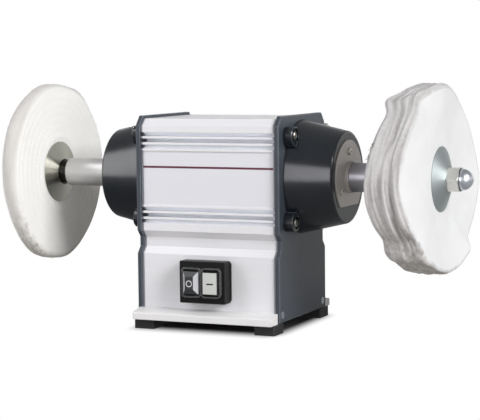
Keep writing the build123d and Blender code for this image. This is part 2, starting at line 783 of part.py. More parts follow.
def loose_section(angle):
    """One closed section of the wheel: along, radius."""
    inner = loose_edge(angle, hub_inner - loose_inner_flare, loose_inner_lean, loose_inner_twist,
                       loose_inner_turn)
    outer = loose_edge(angle, hub_outer + loose_outer_flare, loose_outer_lean, loose_outer_twist,
                       loose_outer_turn)
    shoulder = loose_rim_radius - ply_shoulder
    halfway = (cloth_start + shoulder) / 2
    bore = (bore_radius + fit_gap) / cos(pi / loose_steps)
    points = [(hub_inner, bore), (hub_inner, cloth_start),
              ((hub_inner + inner) / 2, halfway), (inner, shoulder)]
    for edge in range(1, 2 * ply_count):
        ruffle = sin(loose_ruffle_count * angle + loose_ruffle_turn * edge)
        radius = loose_rim_radius + loose_ruffle * ruffle
        if edge % 2 == 0:
            radius -= ply_notch
        points.append((inner + (outer - inner) * edge / (2 * ply_count), radius))
    points += [(outer, shoulder), ((hub_outer + outer) / 2, halfway),
               (hub_outer, cloth_start), (hub_outer, bore)]
    return [Vector(x, r * cos(angle), spindle_height + r * sin(angle)) for x, r in points]


def facet(*points):
    """A flat triangle."""
    return Face(Wire.make_polygon(points, close=True))


sections = [loose_section(2 * pi * step / loose_steps) for step in range(loose_steps)]
facets = []
for step, here in enumerate(sections):
    there = sections[(step + 1) % loose_steps]
    for place in range(len(here)):
        beyond = (place + 1) % len(here)
        facets.append(facet(here[place], there[place], there[beyond]))
        facets.append(facet(here[place], there[beyond], here[beyond]))
loose_buff = Solid(Shell(facets))
save("right_buff", loose_buff)

# Base frame: a tray under the pedestal, with a sloping lip at the front and back
lip_inner = plate_half + lip_gap
tray = box(-housing_end, housing_end, -lip_inner, lip_inner, base_bottom, lip_top)
tray -= box(-housing_end, housing_end, -housing_half, housing_half, base_top, lip_top)
lip_end = plate_face - lip_end_inset
for side in (1, -1):
    lip_outline = make_face(Polyline(
        (side * lip_inner, base_bottom), (side * lip_front, base_bottom),
        (side * lip_front, base_bottom + lip_front_height), (side * lip_inner, lip_top), close=True))
    plane = Plane(origin=(-lip_end, 0, 0), x_dir=(0, 1, 0), z_dir=(1, 0, 0))
    lip = extrude(plane * lip_outline, 2 * lip_end)
    front_edges = lip.edges().filter_by(Axis.X).sort_by(Axis.Y)
    front_edges = front_edges[-2:] if side > 0 else front_edges[:2]
    tray += fillet(front_edges.sort_by(Axis.Z)[-1:], lip_round)

# Feet: rubber blocks, each on a screw up into the lip
foot_x = plate_face - foot_inset_end - foot_length / 2
foot_y = lip_front - foot_inset_side - foot_width / 2
foot_screw_y = lip_inner + (lip_front - lip_inner) / 4
foot_names = {(1, 1): "rear_right_foot", (1, -1): "front_right_foot",
              (-1, 1): "rear_left_foot", (-1, -1): "front_left_foot"}
foot_screws = []
base_screws = []
for end, side in corners:
    x = end * foot_x
    y = side * foot_screw_y
    foot = Pos(x, side * foot_y, foot_height / 2) * Box(foot_length, foot_width, foot_height)
    foot = chamfer(foot.edges().filter_by(Axis.Z), foot_chamfer)
    foot -= rod_z(foot_screw_radius + screw_gap, 0, foot_height, x, y)
    foot -= rod_z(foot_recess_radius, 0, foot_recess_depth, x, y)
    save(foot_names[end, side], foot.solid())
    screw = rod_z(foot_head_radius, foot_recess_depth - foot_head_height, foot_recess_depth, x, y)
    screw += rod_z(foot_screw_radius, foot_recess_depth, base_bottom + foot_screw_depth, x, y)
    foot_screws.append(screw.solid())
    tapped_top = base_bottom + foot_screw_depth + tap_past
    tray -= rod_z(foot_screw_radius + thread_gap, base_bottom, tapped_top, x, y)
    x = end * (housing_end - base_screw_inset)
    y = side * rail_y
    tray -= rod_z(base_screw_radius + screw_gap, base_bottom, base_top, x, y)
    screw = rod_z(base_head_radius, base_bottom - base_head_height, base_bottom, x, y)
    screw += rod_z(base_screw_radius, base_bottom, base_top + base_screw_depth, x, y)
    base_screws.append(screw.solid())
save("foot_screws", *foot_screws)
save("base_screws", *base_screws)

# Switch: a frame on a gasket, a clear rim, two sprung buttons and a contact block
face_y = -housing_half - frame_depth
frame_back = -housing_half - gasket_thickness
inside_front = face_y + frame_front
button_places = {"off": -button_pitch / 2, "on": button_pitch / 2}
frame = block_y(frame_width, frame_height, face_y, frame_back, 0, switch_z, frame_round)
frame = chamfer(frame.faces().sort_by(Axis.Y)[0].edges(), frame_edge)
frame -= block_y(frame_width - 2 * frame_wall, frame_height - 2 * frame_wall, inside_front,
                 frame_back, 0, switch_z)
for x in button_places.values():
    frame -= block_y(button_width + 2 * slide_gap, button_height + 2 * slide_gap, face_y,
                     inside_front, x, switch_z)
save("switch_frame", frame.solid())
gasket = block_y(frame_width + 2 * gasket_side, frame_height - 2 * gasket_short, frame_back,
                 -housing_half, 0, switch_z, gasket_round)
gasket -= block_y(contact_width + 2 * contact_gap, contact_height + 2 * contact_gap, frame_back,
                  -housing_half, 0, switch_z)
save("switch_gasket", gasket.solid())
rim_y = face_y - rim_depth
pane_width = button_width + 2 * (rim_gap + rim_width)
rim = None
for x in button_places.values():
    pane = block_y(pane_width, rim_height_total, rim_y, face_y, x, switch_z, rim_round)
    rim = pane if rim is None else rim + pane
for x in button_places.values():
    rim -= block_y(button_width + 2 * rim_gap, rim_height_total - 2 * rim_width, rim_y, face_y,
                   x, switch_z, rim_round - rim_width)
save("switch_rim", *rim.solids())

on_face = face_y - button_reach
stop_front = inside_front + slide_gap
button_back = stop_front + button_stop + button_tail
contact_front = button_back + button_travel + slide_gap
contact_back = -housing_half + contact_depth
contacts = block_y(contact_width, contact_height, contact_front, contact_back, 0, switch_z)
stop_width = button_width + 2 * button_stop_width
stop_height = button_height + 2 * button_stop_width
for name, x in button_places.items():
    spring_floor = contact_front + spring_well
    contacts -= rod_y(spring_radius + spring_well_gap, contact_front, spring_floor, x, switch_z)
    cap_front = on_face if name == "on" else on_face + off_shoulder
    button = block_y(button_width, button_height, cap_front, button_back, x, switch_z)
    if name == "on":
        button = chamfer(button.faces().sort_by(Axis.Y)[0].edges(), button_bevel)
    else:
        shoulder_plane = Plane(origin=(x, cap_front, switch_z), x_dir=(1, 0, 0), z_dir=(0, -1, 0))
        crown_plane = Plane(origin=(x, on_face - off_crown, switch_z), x_dir=(1, 0, 0),
                            z_dir=(0, -1, 0))
        button += loft([shoulder_plane * Rectangle(button_width, button_height),
                        crown_plane * Rectangle(off_crown_width, off_crown_height)])
    button += block_y(stop_width, stop_height, stop_front, stop_front + button_stop, x, switch_z)
    save(f"{name}_button", button.solid())
    spring = rod_y(spring_radius, button_back, spring_floor, x, switch_z)
    spring -= rod_y(spring_radius - spring_wall, button_back, spring_floor, x, switch_z)
    save(f"{name}_button_spring", spring.solid())
save("switch_contacts", contacts.solid())

# Cable gland: a body through the pedestal's back wall, lock nut inside, seal and cap nut outside
wall_in = housing_half - wall
flange_y = housing_half + gland_flange
neck_y = flange_y + gland_neck_length
nut_y = flange_y + gland_nut_length
seal_radius = gland_neck_radius - gland_bore_wall
gland = rod_y(gland_thread_radius, wall_in - gland_lock_thickness - gland_tail, housing_half,
              gland_x, gland_z)
gland += hex_y(gland_across_flats, housing_half, flange_y, gland_x, gland_z)
gland += rod_y(gland_neck_radius, flange_y, neck_y, gland_x, gland_z)
gland -= rod_y(gland_lead_radius, wall_in - gland_lock_thickness - gland_tail, neck_y,
               gland_x, gland_z)
gland -= rod_y(seal_radius, flange_y, neck_y, gland_x, gland_z)
save("gland_body", gland.solid())
lock = hex_y(gland_lock_across_flats, wall_in - gland_lock_thickness, wall_in, gland_x, gland_z)
lock -= rod_y(gland_thread_radius + thread_gap, wall_in - gland_lock_thickness, wall_in,
              gland_x, gland_z)
save("gland_lock_nut", lock.solid())
seal = rod_y(seal_radius - fit_gap, flange_y, neck_y, gland_x, gland_z)
seal -= rod_y(gland_lead_radius, flange_y, neck_y, gland_x, gland_z)
save("gland_seal", seal.solid())
cap = hex_y(gland_nut_across_flats, flange_y, flange_y + gland_nut_skirt, gland_x, gland_z)
nose = rod_y(gland_nut_across_flats / 2, flange_y, nut_y, gland_x, gland_z)
cap += fillet(nose.edges().group_by(Axis.Y)[-1], gland_nut_round)
cap -= rod_y(gland_neck_radius + thread_gap, flange_y, neck_y, gland_x, gland_z)
cap -= rod_y(gland_lead_radius, neck_y, nut_y, gland_x, gland_z)
save("gland_cap_nut", cap.solid())

# Run capacitor in its clip, and the terminal block, on the base
clip_radius = capacitor_radius + fit_gap + clip_wall
capacitor_z = base_top + clip_radius
can_start = capacitor_x - capacitor_length / 2
can_end = capacitor_x + capacitor_length / 2
can = rod_x(capacitor_radius, can_start, can_end, capacitor_y, capacitor_z)
can += rod_x(capacitor_stud_radius, can_end, can_end + capacitor_stud_length, capacitor_y, capacitor_z)
save("capacitor", can.solid())
clip_x0 = capacitor_x - clip_width / 2
clip_x1 = capacitor_x + clip_width / 2
foot_reach = clip_radius + clip_foot
clip = rod_x(clip_radius, clip_x0, clip_x1, capacitor_y, capacitor_z)
clip += box(clip_x0, clip_x1, capacitor_y - foot_reach, capacitor_y + foot_reach, base_top,
            base_top + clip_wall)
clip -= rod_x(capacitor_radius + fit_gap, clip_x0, clip_x1, capacitor_y, capacitor_z)
clip_screws = [(capacitor_x, capacitor_y + side * (foot_reach - clip_screw_offset))
               for side in (1, -1)]
terminal_top = base_top + terminal_height
terminal_half = (terminal_count - 1) / 2 * terminal_pitch + terminal_margin
terminals = box(terminal_x - terminal_half, terminal_x + terminal_half,
                terminal_y - terminal_width / 2, terminal_y + terminal_width / 2,
                base_top, terminal_top)
terminal_xs = [terminal_x + (number - (terminal_count - 1) / 2) * terminal_pitch
               for number in range(terminal_count)]
for x in terminal_xs:
    terminals -= rod_z(terminal_well_radius, terminal_top - terminal_well_depth, terminal_top,
                       x, terminal_y)
terminal_screws = [(terminal_x + end * (terminal_half - terminal_margin / 3), terminal_y)
                   for end in (1, -1)]
small_screws = []
for x, y, seat in ([(x, y, base_top + clip_wall) for x, y in clip_screws]
                   + [(x, y, terminal_top) for x, y in terminal_screws]):
    hole = rod_z(small_screw_radius + screw_gap, base_top, seat, x, y)
    if seat == terminal_top:
        terminals -= hole
    else:
        clip -= hole
    tray -= rod_z(small_screw_radius + thread_gap, base_bottom, base_top, x, y)
    screw = rod_z(small_head_radius, seat, seat + small_head_height, x, y)
    screw += rod_z(small_screw_radius, base_bottom, seat, x, y)
    small_screws.append(screw.solid())
save("capacitor_clip", clip.solid())
save("terminal_block", terminals.solid())
save("electrical_screws", *small_screws)
save("base_frame", tray.solid())


# Internal leads: from the winding, the switch and the capacitor to the terminal block
def lead(*points):
    """A lead of straight runs joined by bends."""
    path = FilletPolyline(*points, radius=lead_bend)
    start = Plane(origin=path @ 0, z_dir=path % 0)
    tube = sweep(start * Circle(lead_radius), path=path)
    length = path.length
    print("lead volume over section times length:",
          round(tube.volume / (pi * lead_radius ** 2 * length), 4))
    return tube.solid()


well_floor = terminal_top - terminal_well_depth + lead_end_gap
winding_bottom = spindle_height - ring_outer - lead_end_gap
leads = []
for x, side in ((terminal_xs[-2], 1), (terminal_xs[-3], -1)):
    y = side * 2 * lead_radius
    low = terminal_top + 3 * lead_bend
    leads.append(lead((lead_hole_x, y, winding_bottom), (lead_hole_x, y, low + 2 * lead_bend),
                      (x, terminal_y, low), (x, terminal_y, well_floor)))
contact_exit = contact_back + lead_end_gap
exit_z = switch_z - contact_height / 4
for x in terminal_xs[:2]:
    start_x = x - terminal_xs[0] - terminal_pitch / 2
    leads.append(lead((start_x, contact_exit, exit_z), (start_x, terminal_y - lead_bend, exit_z),
                      (x, terminal_y, exit_z - lead_bend), (x, terminal_y, well_floor)))
stud_end = can_end + capacitor_stud_length + lead_end_gap
over_block = terminal_top + 1.5 * lead_bend
leads.append(lead((stud_end, capacitor_y, capacitor_z),
                  (stud_end + 2 * lead_bend, capacitor_y, capacitor_z),
                  (terminal_xs[-1], terminal_y, over_block), (terminal_xs[-1], terminal_y, well_floor)))
save("internal_leads", *leads)
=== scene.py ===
from math import cos, pi, radians, sin

import bpy
import numpy as np
from mathutils import Matrix, Vector


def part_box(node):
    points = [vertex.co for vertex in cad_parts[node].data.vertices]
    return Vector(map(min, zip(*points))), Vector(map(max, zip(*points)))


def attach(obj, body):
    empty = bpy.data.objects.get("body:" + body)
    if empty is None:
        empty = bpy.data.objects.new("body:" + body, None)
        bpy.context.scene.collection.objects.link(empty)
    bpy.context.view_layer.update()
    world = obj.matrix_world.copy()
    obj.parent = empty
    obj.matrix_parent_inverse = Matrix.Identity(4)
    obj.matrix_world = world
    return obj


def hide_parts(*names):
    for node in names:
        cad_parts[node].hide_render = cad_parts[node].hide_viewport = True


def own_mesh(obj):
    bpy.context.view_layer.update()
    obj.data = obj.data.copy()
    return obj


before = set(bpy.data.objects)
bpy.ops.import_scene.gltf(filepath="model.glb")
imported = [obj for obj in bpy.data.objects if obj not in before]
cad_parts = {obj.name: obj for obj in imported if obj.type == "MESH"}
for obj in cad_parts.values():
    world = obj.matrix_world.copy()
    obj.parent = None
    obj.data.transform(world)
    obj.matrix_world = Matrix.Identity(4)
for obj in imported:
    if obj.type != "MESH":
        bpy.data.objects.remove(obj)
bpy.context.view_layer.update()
mm = 0.001

# Base frame: a cast tray with a sloping lip at the front and back, which the pedestal stands in.
# It is white satin paint over the casting, smooth, with a faint orange peel.
bevel_samples = 6
# Edges are painted a third colour between these two likenesses, for wear and a painted edge highlight.
edge_begins = 0.99        # likeness of a rounded normal to the flat one, where an edge begins
edge_full = 0.8           # and where it is worn through
handled_from = 0.35       # patches below this have the least wear on their edges
handled_to = 0.65         # and those above this the most
handled_least = 0.4
paint_spread = 0.15       # how far the roughness of a coat strays from its mean


def linear(colour):
    """An sRGB hex colour as the linear RGBA that shaders take."""
    shares = [int(colour[at:at + 2], 16) / 255 for at in (1, 3, 5)]
    return [s / 12.92 if s <= 0.04045 else ((s + 0.055) / 1.055) ** 2.4 for s in shares] + [1.0]


def add(tree, kind, inputs=(), **settings):
    """Adds a node of a kind, whose family goes without saying: settings are its attributes, and inputs
    are values, or nodes or sockets to link from, by name or in order."""
    families = ("ShaderNode", "GeometryNode", "FunctionNode", "")
    node = tree.nodes.new(next(f + kind for f in families if hasattr(bpy.types, f + kind)))
    for name, value in settings.items():
        setattr(node, name, value)
    for name, value in inputs.items() if isinstance(inputs, dict) else enumerate(inputs):
        if isinstance(value, bpy.types.Node):
            value = next(socket for socket in value.outputs if socket.enabled)
        if isinstance(value, bpy.types.NodeSocket):
            tree.links.new(value, node.inputs[name])
        else:
            node.inputs[name].default_value = value
    return node


def new_finish(name):
    """A material, its tree, and the coordinates of the piece that wears it."""
    material = bpy.data.materials.new(name)
    material.use_nodes = True
    tree = material.node_tree
    tree.nodes.clear()
    return material, tree, add(tree, "TexCoord").outputs["Object"]


def end_finish(tree, colour, mask, roughness, spread, height, depth, rounded, inputs):
    """Closes a finish with one Principled shader over a fine relief. Its roughness strays with a mask."""
    sheen = add(tree, "MapRange", {"Value": mask, "To Min": roughness * (1 - spread),
                                   "To Max": roughness * (1 + spread)})
    bump = add(tree, "Bump", {"Height": height, "Distance": depth * mm, "Strength": 1.0, "Normal": rounded})
    looks = {"Base Color": colour, "Roughness": sheen, "Normal": bump, **inputs}
    add(tree, "OutputMaterial", {"Surface": add(tree, "BsdfPrincipled", looks)})


def coated(name, light, dark, worn_and_lit, roughness, patch, grain, depth, edge, **inputs):
    """Paint, rubber or moulded plastic in two tones and a fine grain; edges get wear and a painted
    highlight.
    patch, grain, depth and edge are in millimetres."""
    material, tree, place = new_finish(name)
    patches = add(tree, "TexNoise", {"Vector": place, "Scale": 1 / (patch * mm), "Detail": 5.0})
    tone = add(tree, "Mix", {0: patches, 6: linear(dark), 7: linear(light)}, data_type="RGBA")
    rounded = add(tree, "Bevel", {"Radius": edge * mm}, samples=bevel_samples)
    flat = add(tree, "NewGeometry").outputs["Normal"]
    likeness = add(tree, "VectorMath", [rounded, flat], operation="DOT_PRODUCT")
    along_edge = add(tree, "MapRange", {"Value": likeness, "From Min": edge_begins, "From Max": edge_full})
    handling = add(tree, "MapRange", {"Value": patches, "From Min": handled_from, "From Max": handled_to,
                                      "To Min": handled_least})
    rubbed_and_lit = add(tree, "Math", [along_edge, handling], operation="MULTIPLY")
    colour = add(tree, "Mix", {0: rubbed_and_lit, 6: tone, 7: linear(worn_and_lit)}, data_type="RGBA")
    texture = add(tree, "TexNoise", {"Vector": place, "Scale": 1 / (grain * mm), "Detail": 3.0})
    end_finish(tree, colour, patches, roughness, paint_spread, texture, depth, rounded, inputs)
    return material


def dress(material, *nodes):
    """Gives CAD nodes their finish."""
    for node in nodes:
        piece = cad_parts[node]
        if not piece.material_slots:
            piece.data.materials.append(material)
        for slot in piece.material_slots:
            slot.material = material


# Satin paint: the eye sees an even white with soft, broad highlights.
base_enamel = coated("satin_white_paint", "#e2e2e2", "#dcdcdc", "#e2e2e2", roughness=0.36, patch=60,
                     grain=2.2, depth=0.012, edge=0.9)
dress(base_enamel, "base_frame")

# Feet: moulded rubber blocks at the corners of the base, each held by a screw from below.
# The rubber is black, dull and slightly grained from its mould, and seals the gland and switch too.
foot_rubber = coated("moulded_rubber", "#1b1b1c", "#121213", "#6a6a68", roughness=0.68, patch=9,
                     grain=0.7, depth=0.05, edge=0.8)
dress(foot_rubber, "front_left_foot", "front_right_foot", "rear_left_foot", "rear_right_foot",
      "gland_seal", "switch_gasket")

# Motor housing: one aluminium extrusion for the motor's barrel and the pedestal, grooved at the
# front and back. It is anodised to a pale satin, with fine die lines along its length. Its grooves
# are painted lighter as painted fill light, and its ends darker as painted shade by the end plates.
end_shade_start = 74.7       # from the middle of the machine, to both sides
tint_fade = 0.2           # over which a tint comes in
rib_face = 61.4           # depth of the grooves' mouths
ribs_end = 51.0           # from the spindle's height to the last groove
metal_spread = 0.3        # how far the roughness of a metal strays from its mean
spindle_low, spindle_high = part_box("spindle_shaft")
spindle_z = (spindle_low.z + spindle_high.z) / 2


def worked_metal(name, light, dark, roughness, lines, line, depth, edge, **inputs):
    """Bare metal with fine lines from how it was worked, which run across the directions in lines.
    line, depth and edge are in millimetres."""
    material, tree, place = new_finish(name)
    scale = [each / (line * mm) for each in lines]
    across = add(tree, "Mapping", {"Vector": place, "Scale": scale})
    marks = add(tree, "TexNoise", {"Vector": across, "Scale": 1.0, "Detail": 4.0})
    tone = add(tree, "Mix", {0: marks, 6: linear(dark), 7: linear(light)}, data_type="RGBA")
    rounded = add(tree, "Bevel", {"Radius": edge * mm}, samples=bevel_samples)
    inputs = {"Metallic": 1.0, **inputs}
    end_finish(tree, tone, marks, roughness, metal_spread, marks, depth, rounded, inputs)
    return material


def away_from(material, axis, middle, start, end):
    """A mask that rises from 0 to 1 between two distances from a place on an axis, to both sides."""
    tree = material.node_tree
    place = add(tree, "SeparateXYZ", [tree.nodes["Texture Coordinate"].outputs["Object"]])
    beyond = add(tree, "Math", [place.outputs[axis], middle * mm], operation="SUBTRACT")
    outward = add(tree, "Math", [beyond], operation="ABSOLUTE")
    return add(tree, "MapRange", {"Value": outward, "From Min": start * mm, "From Max": end * mm})


def tint(material, mask, colour):
    """Lays another colour over a finish where a mask is 1."""
    tree = material.node_tree
    shown = tree.nodes["Principled BSDF"].inputs["Base Color"]
    mixed = add(tree, "Mix", {0: mask, 6: shown.links[0].from_socket, 7: linear(colour)}, data_type="RGBA")
    tree.links.new(mixed.outputs[2], shown)


# Anodised aluminium: the film is pale and even, with a soft satin gleam and faint die lines.
anodised = worked_metal("anodised_extrusion", "#e0e0e3", "#dadade", roughness=0.36, lines=(0.004, 1, 1),
                        line=1.6, depth=0.006, edge=0.5, Metallic=0.0)
# Painted fill light: the inside of the grooves is painted lighter, against the shade in them.
behind_ribs = away_from(anodised, "Y", 0, rib_face, rib_face - tint_fade)
between_ribs = away_from(anodised, "Z", spindle_z / mm, ribs_end, ribs_end - tint_fade)
in_grooves = add(anodised.node_tree, "Math", [behind_ribs, between_ribs], operation="MULTIPLY")
tint(anodised, in_grooves, "#f5f7fc")
# Painted shade: the ends beside the end plates are painted darker, where the plates shade them.
tint(anodised, away_from(anodised, "X", 0, end_shade_start, end_shade_start + tint_fade), "#8e8f97")
dress(anodised, "motor_housing")

# Label: a printed film on the flat band of the housing's front, stuck on from end to end.
# Its face is bare, apart from one plain stripe across it.
band_recess = 1.2         # behind the housing's front
band_half_height = 28.6
film_margin = 0.8         # above and below the film
film_inset = 2.3          # from the housing's ends
film_thickness = 0.15
stripe_low = 169.9        # above the bench
stripe_high = 172.1
ink_thickness = 0.05
edge_parts = 3            # a sheet's edge is broken by one part in this many of its thickness
housing_low, housing_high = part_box("motor_housing")


def new_object(name, data):
    """A mesh, a lamp or a lens in the scene."""
    made = bpy.data.objects.new(name, data)
    bpy.context.scene.collection.objects.link(made)
    return made


def new_piece(name, points=(), faces=()):
    """A mesh in place, whose faces are given outwards."""
    mesh = bpy.data.meshes.new(name)
    mesh.from_pydata([tuple(p) for p in points], [], [tuple(f) for f in faces])
    mesh.update()
    return new_object(name, mesh)


def settle(piece, material, body):
    """Dresses a finished piece and lets it ride on a body."""
    if not piece.material_slots:
        piece.data.materials.append(material)
    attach(piece, body)


def flat_sheet(x0, x1, y_back, thickness, z0, z1):
    """Points and faces of a thin sheet on a front face, whose outer edge is broken all round.
    Places are in metres, thickness in millimetres."""
    y_front = y_back - thickness * mm
    edge = thickness / edge_parts * mm
    points = []
    for y, inset in ((y_back, 0.0), (y_front + edge, 0.0), (y_front, edge)):
        left = x0 + inset
        right = x1 - inset
        low = z0 + inset
        high = z1 - inset
        points += [(left, y, low), (right, y, low), (right, y, high), (left, y, high)]
    faces = [(3, 2, 1, 0), (8, 9, 10, 11)]
    for ring in (0, 4):
        for corner in range(4):
            beside = (corner + 1) % 4
            faces.append((ring + corner, ring + beside, ring + 4 + beside, ring + 4 + corner))
    return points, faces


# Polycarbonate film: a smooth, slightly cool white.
label_film = coated("printed_film", "#dadbe0", "#d6d7dd", "#e6e6ea", roughness=0.3, patch=40, grain=0.6,
                    depth=0.004, edge=0.1)
band_y = housing_low.y + band_recess * mm
film_y = band_y - film_thickness * mm
film_x0 = housing_low.x + film_inset * mm
film_x1 = housing_high.x - film_inset * mm
film_half = (band_half_height - film_margin) * mm
film = new_piece("label_film", *flat_sheet(
    film_x0, film_x1, band_y, film_thickness, spindle_z - film_half, spindle_z + film_half))
settle(film, label_film, "housing")
# Screen ink: a thin, even coat that dulls the film's gloss.
stripe_ink = coated("maroon_ink", "#5e2438", "#521d30", "#7a3a4e", roughness=0.4, patch=8, grain=0.4,
                    depth=0.003, edge=0.05)
stripe = new_piece(
    "label_stripe", *flat_sheet(film_x0, film_x1, film_y, ink_thickness, stripe_low * mm, stripe_high * mm))
settle(stripe, stripe_ink, "housing")

# End plates: sheet steel, cut to the housing's outline and a little larger, clamped by the bells.
# They have a slate powder coat, with pale edges: partly a thin coat, partly a painted edge highlight.
slate_powder = coated("slate_powder_coat", "#3c424a", "#363c44", "#b4bbc4", roughness=0.4, patch=30,
                      grain=0.9, depth=0.01, edge=0.8, **{"Specular IOR Level": 0.4})
dress(slate_powder, "left_end_plate", "right_end_plate")

# Screws: zinc-plated steel, all bought in, with sockets or cross recesses in their heads.
# The plating is pale and half bright, blue on the plates and yellowed on the bells and their covers.
screw = {"roughness": 0.3, "lines": (1, 1, 1), "line": 0.8, "depth": 0.01, "edge": 0.25}
dress(worked_metal("zinc_plated_screw", "#d8dde4", "#bcc1c8", **screw),
      "end_plate_screws", "base_screws", "foot_screws", "electrical_screws")
dress(worked_metal("yellowed_zinc_screw", "#dcd8ce", "#bbb6ab", **screw),
      "end_bell_screws", "bearing_cover_screws")

# Motor: slotted stator of stacked electrical sheet, wound with varnished copper wire, and a rotor
# of the same sheet with a cast aluminium cage. All of it is closed in by the housing and bells.
sheet_stack = worked_metal("electrical_sheet", "#6d7077", "#4c4f55", roughness=0.5, lines=(1, 0, 0),
                           line=0.5, depth=0.03, edge=0.2)
dress(sheet_stack, "stator_core", "rotor_core")
copper_wire = worked_metal("varnished_copper", "#c4743c", "#9c5128", roughness=0.35, lines=(0.1, 1, 1),
                           line=0.9, depth=0.12, edge=0.6)
dress(copper_wire, "stator_winding")
cast_aluminium = worked_metal("cast_aluminium", "#c9cacc", "#aeb0b3", roughness=0.5, lines=(1, 1, 1),
                              line=1.2, depth=0.04, edge=0.4)
dress(cast_aluminium, "rotor_cage")

# End bells: conical castings over the motor's ends, with four screw ears each.
# They are painted near black, over a casting skin that is just rough enough to spread highlights.
casting_paint = coated("black_casting_paint", "#1a1f25", "#151a20", "#7c828a", roughness=0.2, patch=18,
                       grain=1.3, depth=0.006, edge=0.6, **{"Specular IOR Level": 0.6})
dress(casting_paint, "left_end_bell", "right_end_bell")

# Bearings: shielded ball bearings in the bells' ends, with a preload washer in front of each.
# The rings and balls are ground steel, the cages and shields pressed sheet.
ground_steel = worked_metal("ground_steel", "#d0d1d4", "#b9babd", roughness=0.16, lines=(1, 0, 0),
                            line=0.4, depth=0.003, edge=0.2)
for side in ("left", "right"):
    for part in ("inner_ring", "outer_ring", "balls", "cage", "shields"):
        dress(ground_steel, f"{side}_bearing_{part}")
dress(ground_steel, "bearing_washers", "spindle_shaft")

# Bearing covers: D-shaped steel plates with a collar round the spindle, three screws in each.
# The steel is warm grey, brushed upright.
brushed_cover = worked_metal("brushed_cover_steel", "#c4c0bc", "#b9b5b0", roughness=0.5, Metallic=0.5,
                             lines=(1, 1, 0.02), line=0.9, depth=0.01, edge=0.4)
dress(brushed_cover, "left_bearing_cover", "right_bearing_cover")

# Spacer sleeves: turned steel tubes on the spindle, between each bearing and its inner flange.
# The lathe leaves fine rings round them. The left one is painted lighter, as a painted reflection
# of the white buff beside it, and the right one darker, as painted shade.
lathe_rings = {"lines": (1, 0, 0), "line": 0.9, "depth": 0.004, "edge": 0.5}
turned_steel = worked_metal("turned_steel", "#dddcdb", "#d1d0cf", roughness=0.46, **lathe_rings)
dress(turned_steel, "left_spacer_sleeve")
# Painted shade: the right sleeve's steel is darker than the left one's.
shaded_sleeve_steel = worked_metal("shaded_turned_steel", "#b6b4ba", "#aaa8ae", roughness=0.34, **lathe_rings)
dress(shaded_sleeve_steel, "right_spacer_sleeve")

# Flanges: turned cones that clamp each buff from both sides, the inner ones on a narrow neck.
# The zinc plating is yellowed on the inner ones and dull and blue outside. The inner ones' necks are
# painted dark, as a painted reflection of the dark parts round them.
neck_end = 206.0          # from the middle of the machine
quarter_turn = 0.25
cone_rings = {"lines": (1, 0, 0), "line": 0.7, "depth": 0.002, "edge": 0.5}


def turned_gleam(material, strength):
    """Stretches highlights across the rings that a lathe leaves, so that they fan out from the middle."""
    tree = material.node_tree
    shader = tree.nodes["Principled BSDF"]
    shader.inputs["Anisotropic"].default_value = strength
    shader.inputs["Anisotropic Rotation"].default_value = quarter_turn
    rings = add(tree, "Tangent", direction_type="RADIAL", axis="X")
    tree.links.new(rings.outputs["Tangent"], shader.inputs["Tangent"])


aged_flange = worked_metal("aged_zinc_flange", "#c2c1b6", "#b6b5aa", roughness=0.32, **cone_rings)
turned_gleam(aged_flange, 1.0)
# Painted reflection: the neck is painted dark for the dark surroundings it mirrors.
tint(aged_flange, away_from(aged_flange, "X", 0, neck_end + tint_fade, neck_end), "#3c3a36")
dress(aged_flange, "left_inner_flange", "right_inner_flange")
zinc_flange = worked_metal("zinc_plated_flange", "#b6bdbe", "#acb3b4", roughness=0.6, **cone_rings)
turned_gleam(zinc_flange, 0.6)
dress(zinc_flange, "left_outer_flange", "right_outer_flange")

# Cap nuts: hexagons with a polished dome, screwed on the spindle's threaded ends.
# The plating is bright and warm. The step between is painted dark as painted shade, and the dome
# bluer and darker as a painted reflection.
hexagon_end = 255.7       # from the middle of the machine
dome_start = 257.0
bright_plate = worked_metal("bright_plated_nut", "#e1e0db", "#d6d5d0", roughness=0.3, lines=(1, 1, 1),
                            line=6.0, depth=0.01, edge=0.5)
# Painted shade in the step, and a painted reflection that makes the dome bluer and darker.
for start, colour in ((hexagon_end, "#85888b"), (dome_start, "#ccd1d8")):
    tint(bright_plate, away_from(bright_plate, "X", 0, start, start + tint_fade), colour)
dress(bright_plate, "left_cap_nut", "right_cap_nut")

# Left buff: plies of bleached cotton, sewn together in rings, clamped between the flanges.
# The sewing draws the faces in along each ring, and the cut plies show as fine lines on the rim.
wheel_steps = 360
sewn_radius = 99.6
sewn_rim_round = 9.0
sewn_rim_set = 4.9        # how far the outer face falls back at the rim
sewn_rim = ((0, 102), (15, 103), (42, 101.5), (60, 103.5), (74, 99.5), (88, 98.3), (102, 99.8), (117, 99.2),
            (139, 102.5), (154, 102), (170, 100.5), (182, 99.2), (200, 96.5), (220, 96.5), (242, 99.6),
            (255, 98.4), (268, 98), (281, 99.8), (295, 98.5), (310, 97.5), (332, 98), (346, 99))
rim_blur = 2.6            # degrees
bore_radius = 8.1
clamp_margin = 5.0        # from the flange's edge to where the cloth is free
sewn_face_rows = 62
sewn_corner_rows = 13
sewn_rim_rows = 33
ring_first = 46.0
ring_spacing = 8.5
ring_count = 6
ring_depth = 0.18
ring_draw = 3.6           # how far beside a ring the cloth is drawn in
sewn_plies = 11
ply_slit = 0.2            # share of a ply's thickness
ply_depth = 0.3
fray_height = 0.9
fray_size = 4.0
lump_height = 2.4
lump_size = 60.0
lump_start = 4.0          # past the free cloth's start
cut_start = 0.6           # share of the rim's rounding where the cut edges begin
cut_full = 1.0            # below the rim
stitch_pitch = 5.0
stitch_length = 3.4
stitch_thickness = 0.7
circle_points = 96
grit_seed = 4
